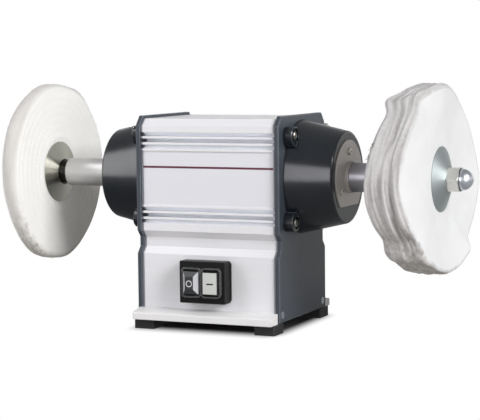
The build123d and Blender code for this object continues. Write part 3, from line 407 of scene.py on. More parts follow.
# The rim is darkest low at the front, from dust and painted shade.
grit_place = 232          # degrees round the wheel, where the rim is most worn
grit_spread = 24
grit_length = 0.7         # degrees
grit_width = 0.8          # rows
rim_grey = 0.12
grit_mean = 0.1
grit_range = 0.2
patch_size = 14.0
fibre_size = 1.6
weave_depth = 0.08
fibre_depth = 0.4
thread_spacing = 1.2      # twice as coarse as muslin's own threads, so that the weave shows
thread_density = 9000.0   # threads on a square metre of cut edge
thread_thickness = 0.05   # share of a thread's length
thread_lean = 0.7         # radians
shortest_thread = 0.35
around = np.linspace(0, 360, wheel_steps, endpoint=False)


def wheel_points(along, radius):
    """Points in metres from places along the spindle and radii in mm, one row for each step round."""
    turn = np.radians(around)[:, None]
    height = radius * np.sin(turn)
    across = radius * np.cos(turn)
    along = np.broadcast_to(along, height.shape)
    return (np.stack([along, across, height], axis=-1) * mm + (0, 0, spindle_z)).reshape(-1, 3)


def ring_faces(steps, count):
    """Quads of a closed ring of closed sections, each of which has this many points."""
    faces = []
    for step in range(steps):
        here = step * count
        there = (step + 1) % steps * count
        for place in range(count):
            beyond = (place + 1) % count
            faces.append((here + place, here + beyond, there + beyond, there + place))
    return faces


def closed_line(points):
    """A closed line round a wheel through given degrees and values, softened."""
    degrees, values = zip(*points)
    waves = np.fft.rfft(np.interp(around, degrees, values, period=360))
    waves *= np.exp(-0.5 * (np.arange(len(waves)) * radians(rim_blur)) ** 2)
    return np.fft.irfft(waves, wheel_steps)[:, None]


def near(degrees, width):
    """1 at a place round a wheel, fading to 0 on both sides of it."""
    return np.exp(-(((around - degrees + 180) % 360 - 180) / width) ** 2)[:, None]


def cloud(rng, rows, length, width):
    """A random pattern on rows round a wheel, as long and wide as its blur in degrees and rows."""
    waves = np.fft.rfft2(rng.standard_normal((wheel_steps, rows)))
    lengthwise = 2 * pi * length * np.fft.fftfreq(wheel_steps)[:, None]
    crosswise = 2 * pi * width * np.fft.rfftfreq(rows)
    pattern = np.fft.irfft2(waves * np.exp(-0.5 * (lengthwise ** 2 + crosswise ** 2)), (wheel_steps, rows))
    return pattern / pattern.std()


def cotton(name, face, face_dim, edge, edge_dim, dust_and_shade):
    """Bleached cotton: a plain weave on the faces, frayed, greyer cut edges, and grey in places from dust
    and painted shade.
    """
    material, tree, place = new_finish(name)
    cut = add(tree, "Attribute", attribute_name="cut_edge").outputs["Fac"]
    dust_and_shade_mask = add(tree, "Attribute", attribute_name="dust_and_shade").outputs["Fac"]
    clouds = add(tree, "TexNoise", {"Vector": place, "Scale": 1 / (patch_size * mm), "Detail": 6.0})
    fibres = add(tree, "TexNoise", {"Vector": place, "Scale": 1 / (fibre_size * mm), "Detail": 5.0,
                                    "Roughness": 0.7})
    colour = add(tree, "Mix", {0: clouds, 6: linear(face_dim), 7: linear(face)}, data_type="RGBA")
    frayed = add(tree, "Mix", {0: fibres, 6: linear(edge_dim), 7: linear(edge)}, data_type="RGBA")
    for mask, beyond in ((cut, frayed), (dust_and_shade_mask, linear(dust_and_shade))):
        colour = add(tree, "Mix", {0: mask, 6: colour, 7: beyond}, data_type="RGBA")
    bands = 1 / (thread_spacing * mm) / 3.18    # a wave texture has 3.18 bands at a scale of 1
    weave = [add(tree, "TexWave", {"Vector": place, "Scale": bands, "Distortion": 0.6, "Detail": 1.0},
                 bands_direction=direction).outputs["Fac"] for direction in ("Y", "Z")]
    cloth = add(tree, "Math", weave, operation="MAXIMUM")
    height = add(tree, "Mix", {0: cut, 2: cloth, 3: fibres})
    depth = add(tree, "MapRange", {"Value": cut, "To Min": weave_depth * mm, "To Max": fibre_depth * mm})
    bump = add(tree, "Bump", {"Height": height, "Distance": depth, "Strength": 0.6})
    shader = add(tree, "BsdfPrincipled", {
        "Base Color": colour, "Roughness": 0.9, "Sheen Weight": 0.1, "Sheen Roughness": 0.5,
        "Specular IOR Level": 0.15, "Normal": bump})
    add(tree, "OutputMaterial", {"Surface": shader})
    return material


def mark(piece, label, weights):
    """Keeps a weight for each point of a piece, which finishes and trees read by its label."""
    layer = piece.data.attributes.new(label, "FLOAT", "POINT")
    layer.data.foreach_set("value", weights.astype(np.float32).ravel())


def new_tree(name, sizes, others=()):
    """A geometry tree with named inputs: sizes, others of the kinds given, and its material.
    Returns the tree and the sockets that bring the inputs in."""
    tree = bpy.data.node_groups.new(name, "GeometryNodeTree")
    kinds = {"Geometry": "Geometry", "Material": "Material"} | dict.fromkeys(sizes, "Float") | dict(others)
    for label, kind in kinds.items():
        tree.interface.new_socket(label, in_out="INPUT", socket_type="NodeSocket" + kind)
    tree.interface.new_socket("Geometry", in_out="OUTPUT", socket_type="NodeSocketGeometry")
    return tree, add(tree, "NodeGroupInput").outputs


def end_tree(tree, geometry, material):
    """Closes a tree with one plain mesh in its material."""
    whole = add(tree, "RealizeInstances", {"Geometry": geometry})
    dressed = add(tree, "SetMaterial", {"Geometry": whole, "Material": material})
    add(tree, "NodeGroupOutput", {"Geometry": dressed})


def grow(piece, tree, values):
    """Runs a tree on a piece, with these values on its named inputs, and keeps the plain mesh."""
    modifier = piece.modifiers.new(tree.name, "NODES")
    modifier.node_group = tree
    for socket in tree.interface.items_tree:
        if socket.in_out == "INPUT" and socket.name in values:
            modifier[socket.identifier] = values[socket.name]
    graph = bpy.context.evaluated_depsgraph_get()
    mesh = bpy.data.meshes.new_from_object(
        piece.evaluated_get(graph), preserve_all_data_layers=True, depsgraph=graph)
    piece.modifiers.remove(modifier)
    piece.data = mesh
    return piece


# Bleached cotton, sewn tight: nearly white, with a soft weave, and greyer low on the rim, from dust and
# painted shade.
sewn_cotton = cotton("sewn_cotton", "#f3f3f1", "#ededeb", "#dad8d5", "#c6c3bf", "#948f8b")
flange_low, flange_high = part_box("left_inner_flange")
sewn_low, sewn_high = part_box("left_buff")
flange_radius = (flange_high.z - flange_low.z) / 2 / mm
clamped_inner = flange_low.x / mm
clamped_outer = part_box("left_outer_flange")[1].x / mm
cloth_start = flange_radius + clamp_margin
face_inner = sewn_high.x / mm
face_outer = sewn_low.x / mm
rim_outer = face_outer + sewn_rim_set

# Its section, from the bore along the inner face, round the rim and back along the outer face.
face_radii = np.linspace(cloth_start, sewn_radius - sewn_rim_round, sewn_face_rows)
outer_fall = (face_radii - cloth_start) / (sewn_radius - cloth_start)
corner = np.radians(np.linspace(0, 90, sewn_corner_rows))
rim_x = np.linspace(face_inner - sewn_rim_round, rim_outer + sewn_rim_round, sewn_rim_rows)
sewn_along = np.concatenate([
    [clamped_inner, clamped_inner], np.full(len(face_radii), face_inner),
    face_inner - sewn_rim_round * (1 - np.cos(corner[1:])), rim_x[1:-1],
    rim_outer + sewn_rim_round * (1 - np.cos(corner[:0:-1])),
    (face_outer + sewn_rim_set * outer_fall)[::-1], [clamped_outer, clamped_outer]])
section = np.concatenate([
    [bore_radius, flange_radius], face_radii, sewn_radius - sewn_rim_round * (1 - np.sin(corner[1:])),
    np.full(len(rim_x) - 2, sewn_radius), sewn_radius - sewn_rim_round * (1 - np.sin(corner[:0:-1])),
    face_radii[::-1], [flange_radius, bore_radius]])

# The quilting: rings drawn in on the faces, ply lines and fray on the rim, soft lumps all over.
quilting, size = new_tree("quilting", (
    "Spindle Height", "Ring Start", "Ring Spacing", "Last Ring", "Ring Depth", "Ring Draw", "Cloth Start",
    "Rim Start", "Rim End", "Ply Spacing", "Ply Depth", "Fray", "Lumps"))
tree = quilting
place = add(tree, "InputPosition")
apart = add(tree, "SeparateXYZ", [place]).outputs
rise = add(tree, "Math", [apart["Z"], size["Spindle Height"]], operation="SUBTRACT")
spoke = add(tree, "CombineXYZ", {"Y": apart["Y"], "Z": rise})
reach = add(tree, "VectorMath", [spoke], operation="LENGTH")
rim = add(tree, "MapRange", {"Value": reach, "From Min": size["Rim Start"], "From Max": size["Rim End"]})
cloth = add(tree, "MapRange", {
    "Value": reach, "From Min": size["Cloth Start"], "From Max": size["Rim End"]})
past = add(tree, "Math", [reach, size["Ring Start"]], operation="SUBTRACT")
number = add(tree, "Math", [past, size["Ring Spacing"]], operation="DIVIDE")
nearest = number
for operation, term in (("ROUND", 0.0), ("MAXIMUM", 0.0), ("MINIMUM", size["Last Ring"])):
    nearest = add(tree, "Math", [nearest, term], operation=operation)
off_ring = number
for operation, term in (("SUBTRACT", nearest), ("MULTIPLY", size["Ring Spacing"]), ("ABSOLUTE", 0.0)):
    off_ring = add(tree, "Math", [off_ring, term], operation=operation)
drawn = add(tree, "MapRange", {
    "Value": off_ring, "From Max": size["Ring Draw"], "To Min": size["Ring Depth"], "To Max": 0.0},
    interpolation_type="SMOOTHSTEP")
ply = add(tree, "Math", [apart["X"], size["Ply Spacing"]], operation="DIVIDE")
ply = add(tree, "Math", [ply, 0.5], operation="PINGPONG")
slit = add(tree, "MapRange", {"Value": ply, "From Max": ply_slit, "To Min": size["Ply Depth"],
                              "To Max": 0.0}, interpolation_type="SMOOTHSTEP")
tufts = add(tree, "TexNoise", {"Vector": place, "Scale": 1 / (fray_size * mm), "Detail": 2.0})
fray = add(tree, "MapRange", {"Value": tufts, "To Max": size["Fray"]})
cut = add(tree, "Math", [fray, slit], operation="ADD")
cut = add(tree, "Math", [cut, rim], operation="MULTIPLY")
height = add(tree, "TexNoise", {"Vector": place, "Scale": 1 / (lump_size * mm), "Detail": 1.0})
for operation, term in (("SUBTRACT", 0.5), ("MULTIPLY", size["Lumps"]), ("MULTIPLY", cloth),
                        ("SUBTRACT", drawn), ("SUBTRACT", cut)):
    height = add(tree, "Math", [height, term], operation=operation)
normal = add(tree, "InputNormal")
offset = add(tree, "VectorMath", {0: normal, "Scale": height}, operation="SCALE")
shaped = add(tree, "SetPosition", {"Geometry": size["Geometry"], "Offset": offset})
marked = add(tree, "StoreNamedAttribute", {"Geometry": shaped, "Name": "cut_edge", "Value": rim})
end_tree(tree, marked, size["Material"])

outward = np.clip((section - cloth_start) / (sewn_radius - cloth_start), 0, 1)
sewn_radii = section + (closed_line(sewn_rim) - sewn_radius) * outward
sewn_buff = new_piece("sewn_buff", wheel_points(sewn_along, sewn_radii),
                      ring_faces(wheel_steps, len(section)))
sewn_buff.data.shade_smooth()
grit_and_shade = cloud(np.random.default_rng(grit_seed), len(section), grit_length, grit_width)
grit_and_shade = np.clip(rim_grey + near(grit_place, grit_spread) * (grit_mean + grit_range * grit_and_shade), 0, 1)
# The grit and painted shade come in over the first half of the rim's rounding.
grit_and_shade *= np.clip((section - sewn_radius) / sewn_rim_round * 2 + 2, 0, 1)
mark(sewn_buff, "dust_and_shade", grit_and_shade)
rings = {"Spindle Height": spindle_z, "Ring Start": ring_first * mm, "Ring Spacing": ring_spacing * mm}
grow(sewn_buff, quilting, rings | {
    "Material": sewn_cotton, "Last Ring": ring_count - 1, "Ring Depth": ring_depth * mm,
    "Ring Draw": ring_draw * mm, "Cloth Start": (cloth_start + lump_start) * mm,
    "Rim Start": (sewn_radius - sewn_rim_round * cut_start) * mm, "Rim End": (sewn_radius - cut_full) * mm,
    "Ply Spacing": (face_inner - rim_outer) / sewn_plies * mm, "Ply Depth": ply_depth * mm,
    "Fray": fray_height * mm, "Lumps": lump_height * mm})
settle(sewn_buff, sewn_cotton, "spindle")
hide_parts("left_buff")

# The stitches: short lengths of cotton, laid along every ring on both faces.
stitching, size = new_tree("stitching", (
    "Spindle Height", "Ring Start", "Ring Spacing", "Middle", "Reach", "Pitch", "Length", "Thickness"),
    {"Wheel": "Object", "Ring Count": "Int"})
tree = stitching
both = add(tree, "Math", [size["Ring Count"], 2.0], operation="MULTIPLY")
rows = add(tree, "MeshLine", {"Count": both, "Offset": (0, 0, 0)})
index = add(tree, "InputIndex")
ring = add(tree, "Math", [index, 2.0], operation="DIVIDE")
ring = add(tree, "Math", [ring], operation="FLOOR")
span = add(tree, "Math", [ring, size["Ring Spacing"], size["Ring Start"]], operation="MULTIPLY_ADD")
face = add(tree, "Math", [index, 2.0], operation="MODULO")
face = add(tree, "MapRange", {"Value": face, "To Min": -1.0})
start = add(tree, "Math", [face, size["Reach"], size["Middle"]], operation="MULTIPLY_ADD")
beside = add(tree, "CombineXYZ", {"Z": start})
rows = add(tree, "SetPosition", {"Geometry": rows, "Position": beside})
circle = add(tree, "CurvePrimitiveCircle", {"Resolution": circle_points, "Radius": 1.0})
circles = add(tree, "InstanceOnPoints", {"Points": rows, "Instance": circle, "Scale": span})
circles = add(tree, "RealizeInstances", {"Geometry": circles})
centre = add(tree, "CombineXYZ", {"Z": size["Spindle Height"]})
upright = add(tree, "Transform", {"Geometry": circles, "Rotation": (0, pi / 2, 0), "Translation": centre})
spots = add(tree, "CurveToPoints", {"Curve": upright, "Length": size["Pitch"]}, mode="LENGTH")
wheel = add(tree, "GeometryNodeObjectInfo", {"Object": size["Wheel"]}).outputs["Geometry"]
apart = add(tree, "SeparateXYZ", [add(tree, "InputPosition")]).outputs
inward = add(tree, "Math", [size["Middle"], apart["X"]], operation="SUBTRACT")
inward = add(tree, "Math", [inward], operation="SIGN")
towards = add(tree, "CombineXYZ", {"X": inward})
touch = add(tree, "Raycast", {"Target Geometry": wheel, "Ray Direction": towards})
laid = add(tree, "SetPosition", {"Geometry": spots, "Position": touch.outputs["Hit Position"]})
yarn = add(tree, "MeshUVSphere", {"Segments": 6, "Rings": 4, "Radius": 0.5})
follow = add(tree, "AlignRotationToVector", {"Vector": spots.outputs["Tangent"]}, axis="Z")
measure = add(tree, "CombineXYZ", {"X": size["Thickness"], "Y": size["Thickness"], "Z": size["Length"]})
stitches = add(
    tree, "InstanceOnPoints", {"Points": laid, "Instance": yarn, "Rotation": follow, "Scale": measure})
end_tree(tree, stitches, size["Material"])
sewn_stitches = grow(new_piece("sewn_stitches"), stitching, rings | {
    "Material": sewn_cotton, "Wheel": sewn_buff, "Ring Count": ring_count,
    "Middle": (face_inner + face_outer) / 2 * mm, "Reach": (face_inner - face_outer) * mm,
    "Pitch": stitch_pitch * mm, "Length": stitch_length * mm, "Thickness": stitch_thickness * mm})
settle(sewn_stitches, sewn_cotton, "spindle")

# Loose threads: ends of the weave that stand out of the cut edges.
fraying, size = new_tree(
    "fraying", ("Density", "Length", "Thickness"), {"Wheel": "Object", "Edge": "String", "Seed": "Int"})
tree = fraying
wheel = add(tree, "GeometryNodeObjectInfo", {"Object": size["Wheel"]}).outputs["Geometry"]
edge = add(tree, "InputNamedAttribute", {"Name": size["Edge"]})
thick = add(tree, "Math", [edge, size["Density"]], operation="MULTIPLY")
roots = add(tree, "DistributePointsOnFaces", {"Mesh": wheel, "Density": thick, "Seed": size["Seed"]})
bow = add(tree, "CurveQuadraticBezier", {
    "Resolution": 5, "Start": (0, 0, -0.1), "Middle": (0.1, 0, 0.6), "End": (0.6, 0.1, 0.8)})
round_yarn = add(tree, "CurvePrimitiveCircle", {"Resolution": 3, "Radius": size["Thickness"]})
thread = add(tree, "CurveToMesh", {"Curve": bow, "Profile Curve": round_yarn, "Fill Caps": True})
lean = add(tree, "RandomValue", {
    "Min": (-thread_lean, -thread_lean, 0.0), "Max": (thread_lean, thread_lean, 2 * pi),
    "Seed": size["Seed"]}, data_type="FLOAT_VECTOR")
lean = add(tree, "EulerToRotation", [lean])
turned = add(tree, "RotateRotation", {
    "Rotation": roots.outputs["Rotation"], "Rotate By": lean}, rotation_space="LOCAL")
share = add(tree, "RandomValue", {2: shortest_thread, 3: 1.0, "Seed": size["Seed"]}, data_type="FLOAT")
long = add(tree, "Math", [share, size["Length"]], operation="MULTIPLY")
threads = add(
    tree, "InstanceOnPoints", {"Points": roots, "Instance": thread, "Rotation": turned, "Scale": long})
end_tree(tree, threads, size["Material"])


def fray_out(name, wheel, material, length, seed, edge="cut_edge", density=thread_density,
             thickness=thread_thickness):
    """Threads of a length in millimetres that stand out of a wheel's edge."""
    threads = grow(new_piece(name), fraying, {
        "Material": material, "Wheel": wheel, "Edge": edge, "Density": density, "Length": length * mm,
        "Thickness": thickness, "Seed": seed})
    settle(threads, material, "spindle")


fray_out("sewn_threads", sewn_buff, sewn_cotton, length=3.0, seed=3)

# Right buff: loose plies of the same cotton, held only at the hub, so that they flop and spread.
# The plies lie in a few bundles, whose cut edges show as soft, wavy bands round the rim.
inner_rim = ((0, 214), (40, 213), (70, 212), (91, 211.5), (109, 203.5), (117, 198), (123, 190), (129, 197),
             (135, 198), (152, 191.5), (164, 187.5), (180, 184.5), (193, 185.5), (205, 190), (218, 197),
             (227, 196), (234, 202), (245, 203), (270, 206), (310, 210))
outer_rim = ((0, 247), (17, 243), (31, 241), (52, 237.5), (92, 239.7), (108, 233), (119, 228), (135, 231),
             (151, 228), (164, 224.5), (180, 222), (190, 224), (202, 228), (215, 232.5), (225, 238),
             (250, 243), (275, 245), (300, 249), (306, 250.5), (316, 242), (333, 245), (350, 247))
rim_radius = ((0, 99), (60, 97), (90, 98), (115, 97), (123, 100), (131, 97.5), (150, 98), (180, 98.5),
              (208, 97), (218, 95), (227, 101.5), (236, 98), (250, 97), (270, 97), (306, 98.5), (330, 98))
# Each groove between bundles: the share of the rim's width where it runs, and its depth, by degrees.
grooves = (
    (((0, 0.2), (127, 0.22), (200, 0.3)),
     ((0, 0.8), (60, 0.4), (110, 0.1), (121, 0.3), (127, 1.0), (135, 0.2), (180, 0.1), (192, 0.4),
      (206, 0.3), (225, 0.1), (300, 0.6))),
    (((0, 0.45), (60, 0.44), (125, 0.51), (135, 0.52), (142, 0.53), (150, 0.57), (160, 0.5), (176, 0.46),
      (195, 0.43), (215, 0.4), (250, 0.42), (300, 0.48)),
     ((0, 1.5), (60, 1.0), (100, 0.2), (121, 0.5), (127, 1.1), (133, 0.5), (143, 1.3), (152, 1.3),
      (160, 0.8), (170, 0.1), (183, 0.5), (192, 0.1), (204, 0.4), (225, 0.2), (260, 0.9))),
    (((0, 0.7), (60, 0.66), (128, 0.75), (150, 0.7), (165, 0.665), (172, 0.7), (180, 0.725), (187, 0.73),
      (195, 0.71), (205, 0.66), (212, 0.61), (230, 0.57), (270, 0.64), (320, 0.72)),
     ((0, 1.6), (60, 1.0), (100, 0.2), (127, 0.7), (138, 0.1), (155, 0.2), (166, 0.8), (180, 1.2),
      (200, 1.3), (209, 1.0), (217, 0.2), (240, 0.5), (300, 1.7))),
    (((0, 0.9), (60, 0.88), (120, 0.96), (145, 0.92), (160, 0.86), (168, 0.87), (176, 0.94), (183, 0.97),
      (195, 0.96), (205, 0.93), (215, 0.88), (240, 0.88), (300, 0.92)),
     ((0, 1.0), (60, 0.7), (100, 0.2), (120, 1.3), (128, 0.3), (145, 0.8), (165, 0.7), (180, 0.9),
      (200, 1.1), (212, 0.8), (222, 0.1), (250, 0.5))))
groove_width = 2.6
lip_height = 0.35         # share of the groove's depth
lip_place = 3.6
lip_width = 1.6
streak_length = 7.0       # degrees
streak_width = 1.0
streak_height = 0.3
streak_bend = (197, 20)   # degrees round the wheel, and how far to both sides
streak_least = 0.6
streak_gain = 1.4
crumple_length = 3.0      # degrees
crumple_width = 3.2
crumple_height = 0.8
crumple_low = (240, 22)
crumple_top = (118, 12)
crumple_top_share = 0.5
crumple_least = 0.15
fleck_size = 0.9
fleck_bend = (238, 25)
fleck_least = 0.3
rim_degree = 1.7          # millimetres of rim in a degree
groove_shade_share = 0.23         # how grey a groove of one millimetre is
dust_least = 0.15
streak_shading = 0.12
crumple_shading = 0.12
dust_off_flecks = 0.16
inner_corner = 5.0
outer_corner = 4.5
face_waves = 0.3
face_folds = ((3, 1), (5, 2), (7, 3))    # waves round the wheel, and half waves from hub to rim
face_lean = 1.6           # the faces lean over more and more towards the rim
frayed_place = 158        # degrees round the wheel
frayed_spread = 0.9
frayed_beside = 6         # degrees to a second, smaller tuft
second_share = 0.6
second_spread = 0.6
frayed_row = 0.06         # share of the rim's width
frayed_rows = 0.04
edge_gain = 2.0           # how soon the cut edges begin on the rim's corners
edge_loss = 0.6
face_rows = 40
rim_rows = 110
loose_random = np.random.default_rng(11)
# Bleached cotton, loose: cool white faces over cut edges that have taken up polishing dust; its dust
# colour also paints the shade in the rim's grooves.
loose_cotton = cotton("loose_cotton", "#dcdddf", "#d6d7d9", "#d2d1d1", "#b6b4b4", "#868280")
inner_line = closed_line(inner_rim)
outer_line = closed_line(outer_rim)
radius_line = closed_line(rim_radius)
hub_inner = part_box("right_inner_flange")[1].x / mm
hub_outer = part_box("right_outer_flange")[0].x / mm

# Across the rim: grooves with soft lips between the bundles, fine streaks along the cut plies, and
# crumples that are strongest where the cloth is bent over. Grey is painted into the grooves as painted
# shade over a little dust, and raised streaks and crumples are painted lighter, their dips darker.
share = np.linspace(0, 1, rim_rows)
width = outer_line - inner_line
row_width = width.mean() / rim_rows
relief = np.zeros((wheel_steps, rim_rows))
dust_and_shade = np.zeros((wheel_steps, rim_rows))
for places, depths in grooves:
    beside = np.abs(share - closed_line(places)) * width
    depth = closed_line(depths)
    groove = depth * np.exp(-(beside / groove_width) ** 2)
    relief += lip_height * depth * np.exp(-((beside - lip_place) / lip_width) ** 2) - groove
    dust_and_shade += groove_shade_share * groove
streaks = cloud(loose_random, rim_rows, streak_length, streak_width / row_width)
streaks *= streak_least + streak_gain * near(*streak_bend)
crumple = cloud(loose_random, rim_rows, crumple_length, crumple_width / row_width)
crumple *= near(*crumple_low) + crumple_top_share * near(*crumple_top) + crumple_least
relief += streak_height * streaks + crumple_height * crumple
flecks = cloud(loose_random, rim_rows, fleck_size / rim_degree, fleck_size / row_width)
flecks *= fleck_least + near(*fleck_bend)
# Painted shade in the grooves and dips, painted light on the raised streaks and crumples, over dust.
dust_and_shade = np.clip(dust_least + dust_and_shade - streak_shading * streaks - crumple_shading * crumple
               - dust_off_flecks * flecks, 0, 1)
corner = np.where(share < 0.5, inner_corner, outer_corner)
bent = np.clip(1 - np.minimum(share, 1 - share) * width / corner, 0, 1)
rounding = corner * (1 - np.sqrt(1 - bent ** 2))
on_rim = 1 - rounding / corner
rim_radii = radius_line - rounding + relief * on_rim
rim_along = inner_line + width * share

# The two faces, from the hub out to the rim's corners.
outward = np.linspace(0, 1, face_rows)
inner_radii = cloth_start + (radius_line - inner_corner - cloth_start) * outward
outer_radii = cloth_start + (radius_line - outer_corner - cloth_start) * outward
waves = np.zeros((wheel_steps, face_rows))
for count, rows in face_folds:
    strength = loose_random.uniform(0.5, 1.0)
    phase = loose_random.uniform(0, 2 * pi)
    ruffle = face_waves * (strength * np.sin(np.radians(around) * count + phase))
    waves += ruffle[:, None] * np.sin(pi * outward * rows)
inner_face = hub_inner + (inner_line - hub_inner) * outward ** face_lean + waves
outer_face = hub_outer + (outer_line - hub_outer) * outward ** face_lean + waves
hub = np.ones((wheel_steps, 1))
loose_along = np.concatenate([
    hub * hub_inner, hub * hub_inner, inner_face[:, :-1], rim_along, outer_face[:, -2::-1],
    hub * hub_outer, hub * hub_outer], axis=1)
loose_radii = np.concatenate([
    hub * bore_radius, hub * flange_radius, inner_radii[:, :-1], rim_radii, outer_radii[:, -2::-1],
    hub * flange_radius, hub * bore_radius], axis=1)
# Its section runs the other way round than the left wheel's, so its faces are turned over.
loose_faces = [face[::-1] for face in ring_faces(wheel_steps, loose_along.shape[1])]
loose_buff = new_piece("loose_buff", wheel_points(loose_along, loose_radii), loose_faces)
second_tuft = second_share * near(frayed_place + frayed_beside, second_spread)
frayed = (np.abs(share - frayed_row) < frayed_rows) * (near(frayed_place, frayed_spread) + second_tuft)
cut_edge = np.clip(on_rim * edge_gain - edge_loss, 0, 1)
for label, weights in (("cut_edge", cut_edge), ("dust_and_shade", dust_and_shade), ("frayed", frayed)):
    whole = np.zeros(loose_along.shape)
    whole[:, face_rows + 1:face_rows + 1 + rim_rows] = weights
    mark(loose_buff, label, whole)
loose_buff.data.shade_smooth()
settle(loose_buff, loose_cotton, "spindle")
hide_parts("right_buff")
fray_out("loose_threads", loose_buff, loose_cotton, length=2.2, seed=8)
# Greyed cotton: a darker grey for the frayed tuft's threads.
greyed_cotton = cotton("greyed_cotton", "#8e8b88", "#7c7976", "#8e8b88", "#7c7976", "#7c7976")
fray_out("frayed_tuft", loose_buff, greyed_cotton, length=3.6, seed=5, edge="frayed",
         density=1500000.0, thickness=0.1)

# Switch: a moulded box on the pedestal with an off and an on button under a clear vinyl rim.
# The box is black, the off button dark with flanks painted pale as a painted highlight, and the on
# button pale with dark flanks.


def facing(material, direction, least, most):
    """A mask that rises from 0 to 1 as faces turn towards a direction, or away from it."""
    tree = material.node_tree
    normal = add(tree, "NewGeometry").outputs["Normal"]
    towards = add(tree, "VectorMath", [normal, direction], operation="DOT_PRODUCT")
    towards = add(tree, "Math", [towards], operation="ABSOLUTE")
    return add(tree, "MapRange", {"Value": towards, "From Min": least, "From Max": most})


# ABS: moulded smooth, with a soft gloss. Vinyl: clear and wet-looking. Nylon: dull, faintly grained.
black_abs = coated("glossy_black_abs", "#101010", "#0b0b0c", "#4a4a4c", roughness=0.42, patch=12,
                   grain=0.8, depth=0.006, edge=0.4, **{"Specular IOR Level": 0.2})
dress(black_abs, "switch_frame")
moulded = {"roughness": 0.3, "patch": 10, "grain": 0.8, "depth": 0.006, "edge": 0.4}
off_abs = coated("satin_grey_abs", "#343739", "#2c2f31", "#6a6c6e", **moulded)
# Painted highlight: the off button's flanks towards the sides are painted pale, where lamps catch them.
tint(off_abs, facing(off_abs, (1, 0, 0), least=0.25, most=0.5), "#b4b5ba")
dress(off_abs, "off_button")
on_abs = coated("pale_grey_abs", "#c9ccc8", "#c1c4c0", "#d6d9d4", **moulded)
tint(on_abs, facing(on_abs, (0, 1, 0), least=0.97, most=0.9), "#2a2a2b")
dress(on_abs, "on_button")
clear_vinyl = coated("clear_vinyl", "#b8baba", "#aeb0b0", "#c8caca", roughness=0.12, patch=6, grain=1.5,
                     depth=0.02, edge=0.5, **{"Transmission Weight": 0.85, "IOR": 1.5})
dress(clear_vinyl, "switch_rim")
black_nylon = coated("moulded_nylon", "#1a1a1b", "#131314", "#2c2c2e", roughness=0.5, patch=8, grain=0.6,
                     depth=0.02, edge=0.4)
dress(black_nylon, "switch_contacts", "terminal_block", "gland_body", "gland_cap_nut", "gland_lock_nut")

# Return springs: a coil of steel wire behind each button, seated on the contact block.
# The wire is drawn bright, and the capacitor's clip is bent from the same steel.
spring_wire = 0.8
spring_turns = 6.0
turn_points = 20
wire_sides = 8
spring_steel = worked_metal("spring_steel", "#b9babd", "#8f9094", roughness=0.28, lines=(1, 1, 1),
                            line=0.6, depth=0.01, edge=0.2)
dress(spring_steel, "capacitor_clip")
coiling, size = new_tree("coiling", ("Radius", "Length", "Turns", "Wire"), {"Seat": "Vector"})
tree = coiling
coil = add(tree, "CurveSpiral", {
    "Resolution": turn_points, "Rotations": size["Turns"], "Start Radius": size["Radius"],
    "End Radius": size["Radius"], "Height": size["Length"]})
half_wire = add(tree, "Math", [size["Wire"], 0.5], operation="MULTIPLY")
outline = add(tree, "CurvePrimitiveCircle", {"Resolution": wire_sides, "Radius": half_wire})
wire = add(tree, "CurveToMesh", {"Curve": coil, "Profile Curve": outline, "Fill Caps": True})
seated = add(tree, "Transform", {"Geometry": wire, "Rotation": (pi / 2, 0, 0), "Translation": size["Seat"]})
end_tree(tree, seated, size["Material"])
for button in ("off_button", "on_button"):
    tube_low, tube_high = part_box(button + "_spring")
    middle = (tube_low + tube_high) / 2
    length = tube_high.y - tube_low.y
    seat = Vector((middle.x, tube_high.y - spring_wire / 2 * mm, middle.z))
    spring = grow(new_piece(button + "_coil"), coiling, {
        "Material": spring_steel, "Seat": seat, "Turns": spring_turns, "Wire": spring_wire * mm,
        "Radius": (tube_high.x - tube_low.x - spring_wire * mm) / 2, "Length": length - spring_wire * mm})
    spring.data.shade_smooth()
    settle(spring, spring_steel, "housing")
    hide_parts(button + "_spring")
    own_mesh(spring)

# Marks: a plain ring on the off button and a plain bar on the on button, printed on their faces.
# The print is a thin, dull film of ink, white on dark and black on pale.
mark_drop = 0.6           # below the middle of a button
ring_outer = 3.4
ring_inner = 2.7
ring_steps = 48
bar_length = 7.6
bar_width = 1.5
print_thickness = 0.06
ink = {"roughness": 0.4, "patch": 3, "grain": 0.4, "depth": 0.003, "edge": 0.05}
white_print = coated("white_print", "#e8e8e8", "#dedede", "#e8e8e8", **ink)
black_print = coated("black_print", "#161617", "#101011", "#161617", **ink)
off_low, off_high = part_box("off_button")
on_low, on_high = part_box("on_button")
off_middle = (off_low + off_high) / 2 - Vector((0, 0, mark_drop * mm))
on_middle = (on_low + on_high) / 2 - Vector((0, 0, mark_drop * mm))
ring_section = ((0, ring_inner), (-print_thickness, ring_inner), (-print_thickness, ring_outer),
                (0, ring_outer))
points = []
for step in range(ring_steps):
    turn = 2 * pi * step / ring_steps
    for y, span in ring_section:
        x = off_middle.x + span * mm * cos(turn)
        points.append((x, off_low.y + y * mm, off_middle.z + span * mm * sin(turn)))
off_mark = new_piece("off_mark", points, ring_faces(ring_steps, len(ring_section)))
settle(off_mark, white_print, "off_button")
on_mark = new_piece("on_mark", *flat_sheet(
    on_middle.x - bar_length / 2 * mm, on_middle.x + bar_length / 2 * mm, on_low.y, print_thickness,
    on_middle.z - bar_width / 2 * mm, on_middle.z + bar_width / 2 * mm))
settle(on_mark, black_print, "on_button")

# Inside the pedestal: the run capacitor in its clip, the terminal block and the leads between them.
# The capacitor is a drawn aluminium can, the leads have black insulation.
drawn_can = worked_metal("drawn_aluminium_can", "#d3d4d6", "#bfc0c3", roughness=0.34, lines=(0.02, 1, 1),
                         line=1.0, depth=0.006, edge=0.8)
dress(drawn_can, "capacitor")
lead_insulation = coated("lead_insulation", "#1d1d1f", "#161618", "#2b2b2d", roughness=0.45, patch=10,
                         grain=1.0, depth=0.01, edge=0.3)
dress(lead_insulation, "internal_leads")

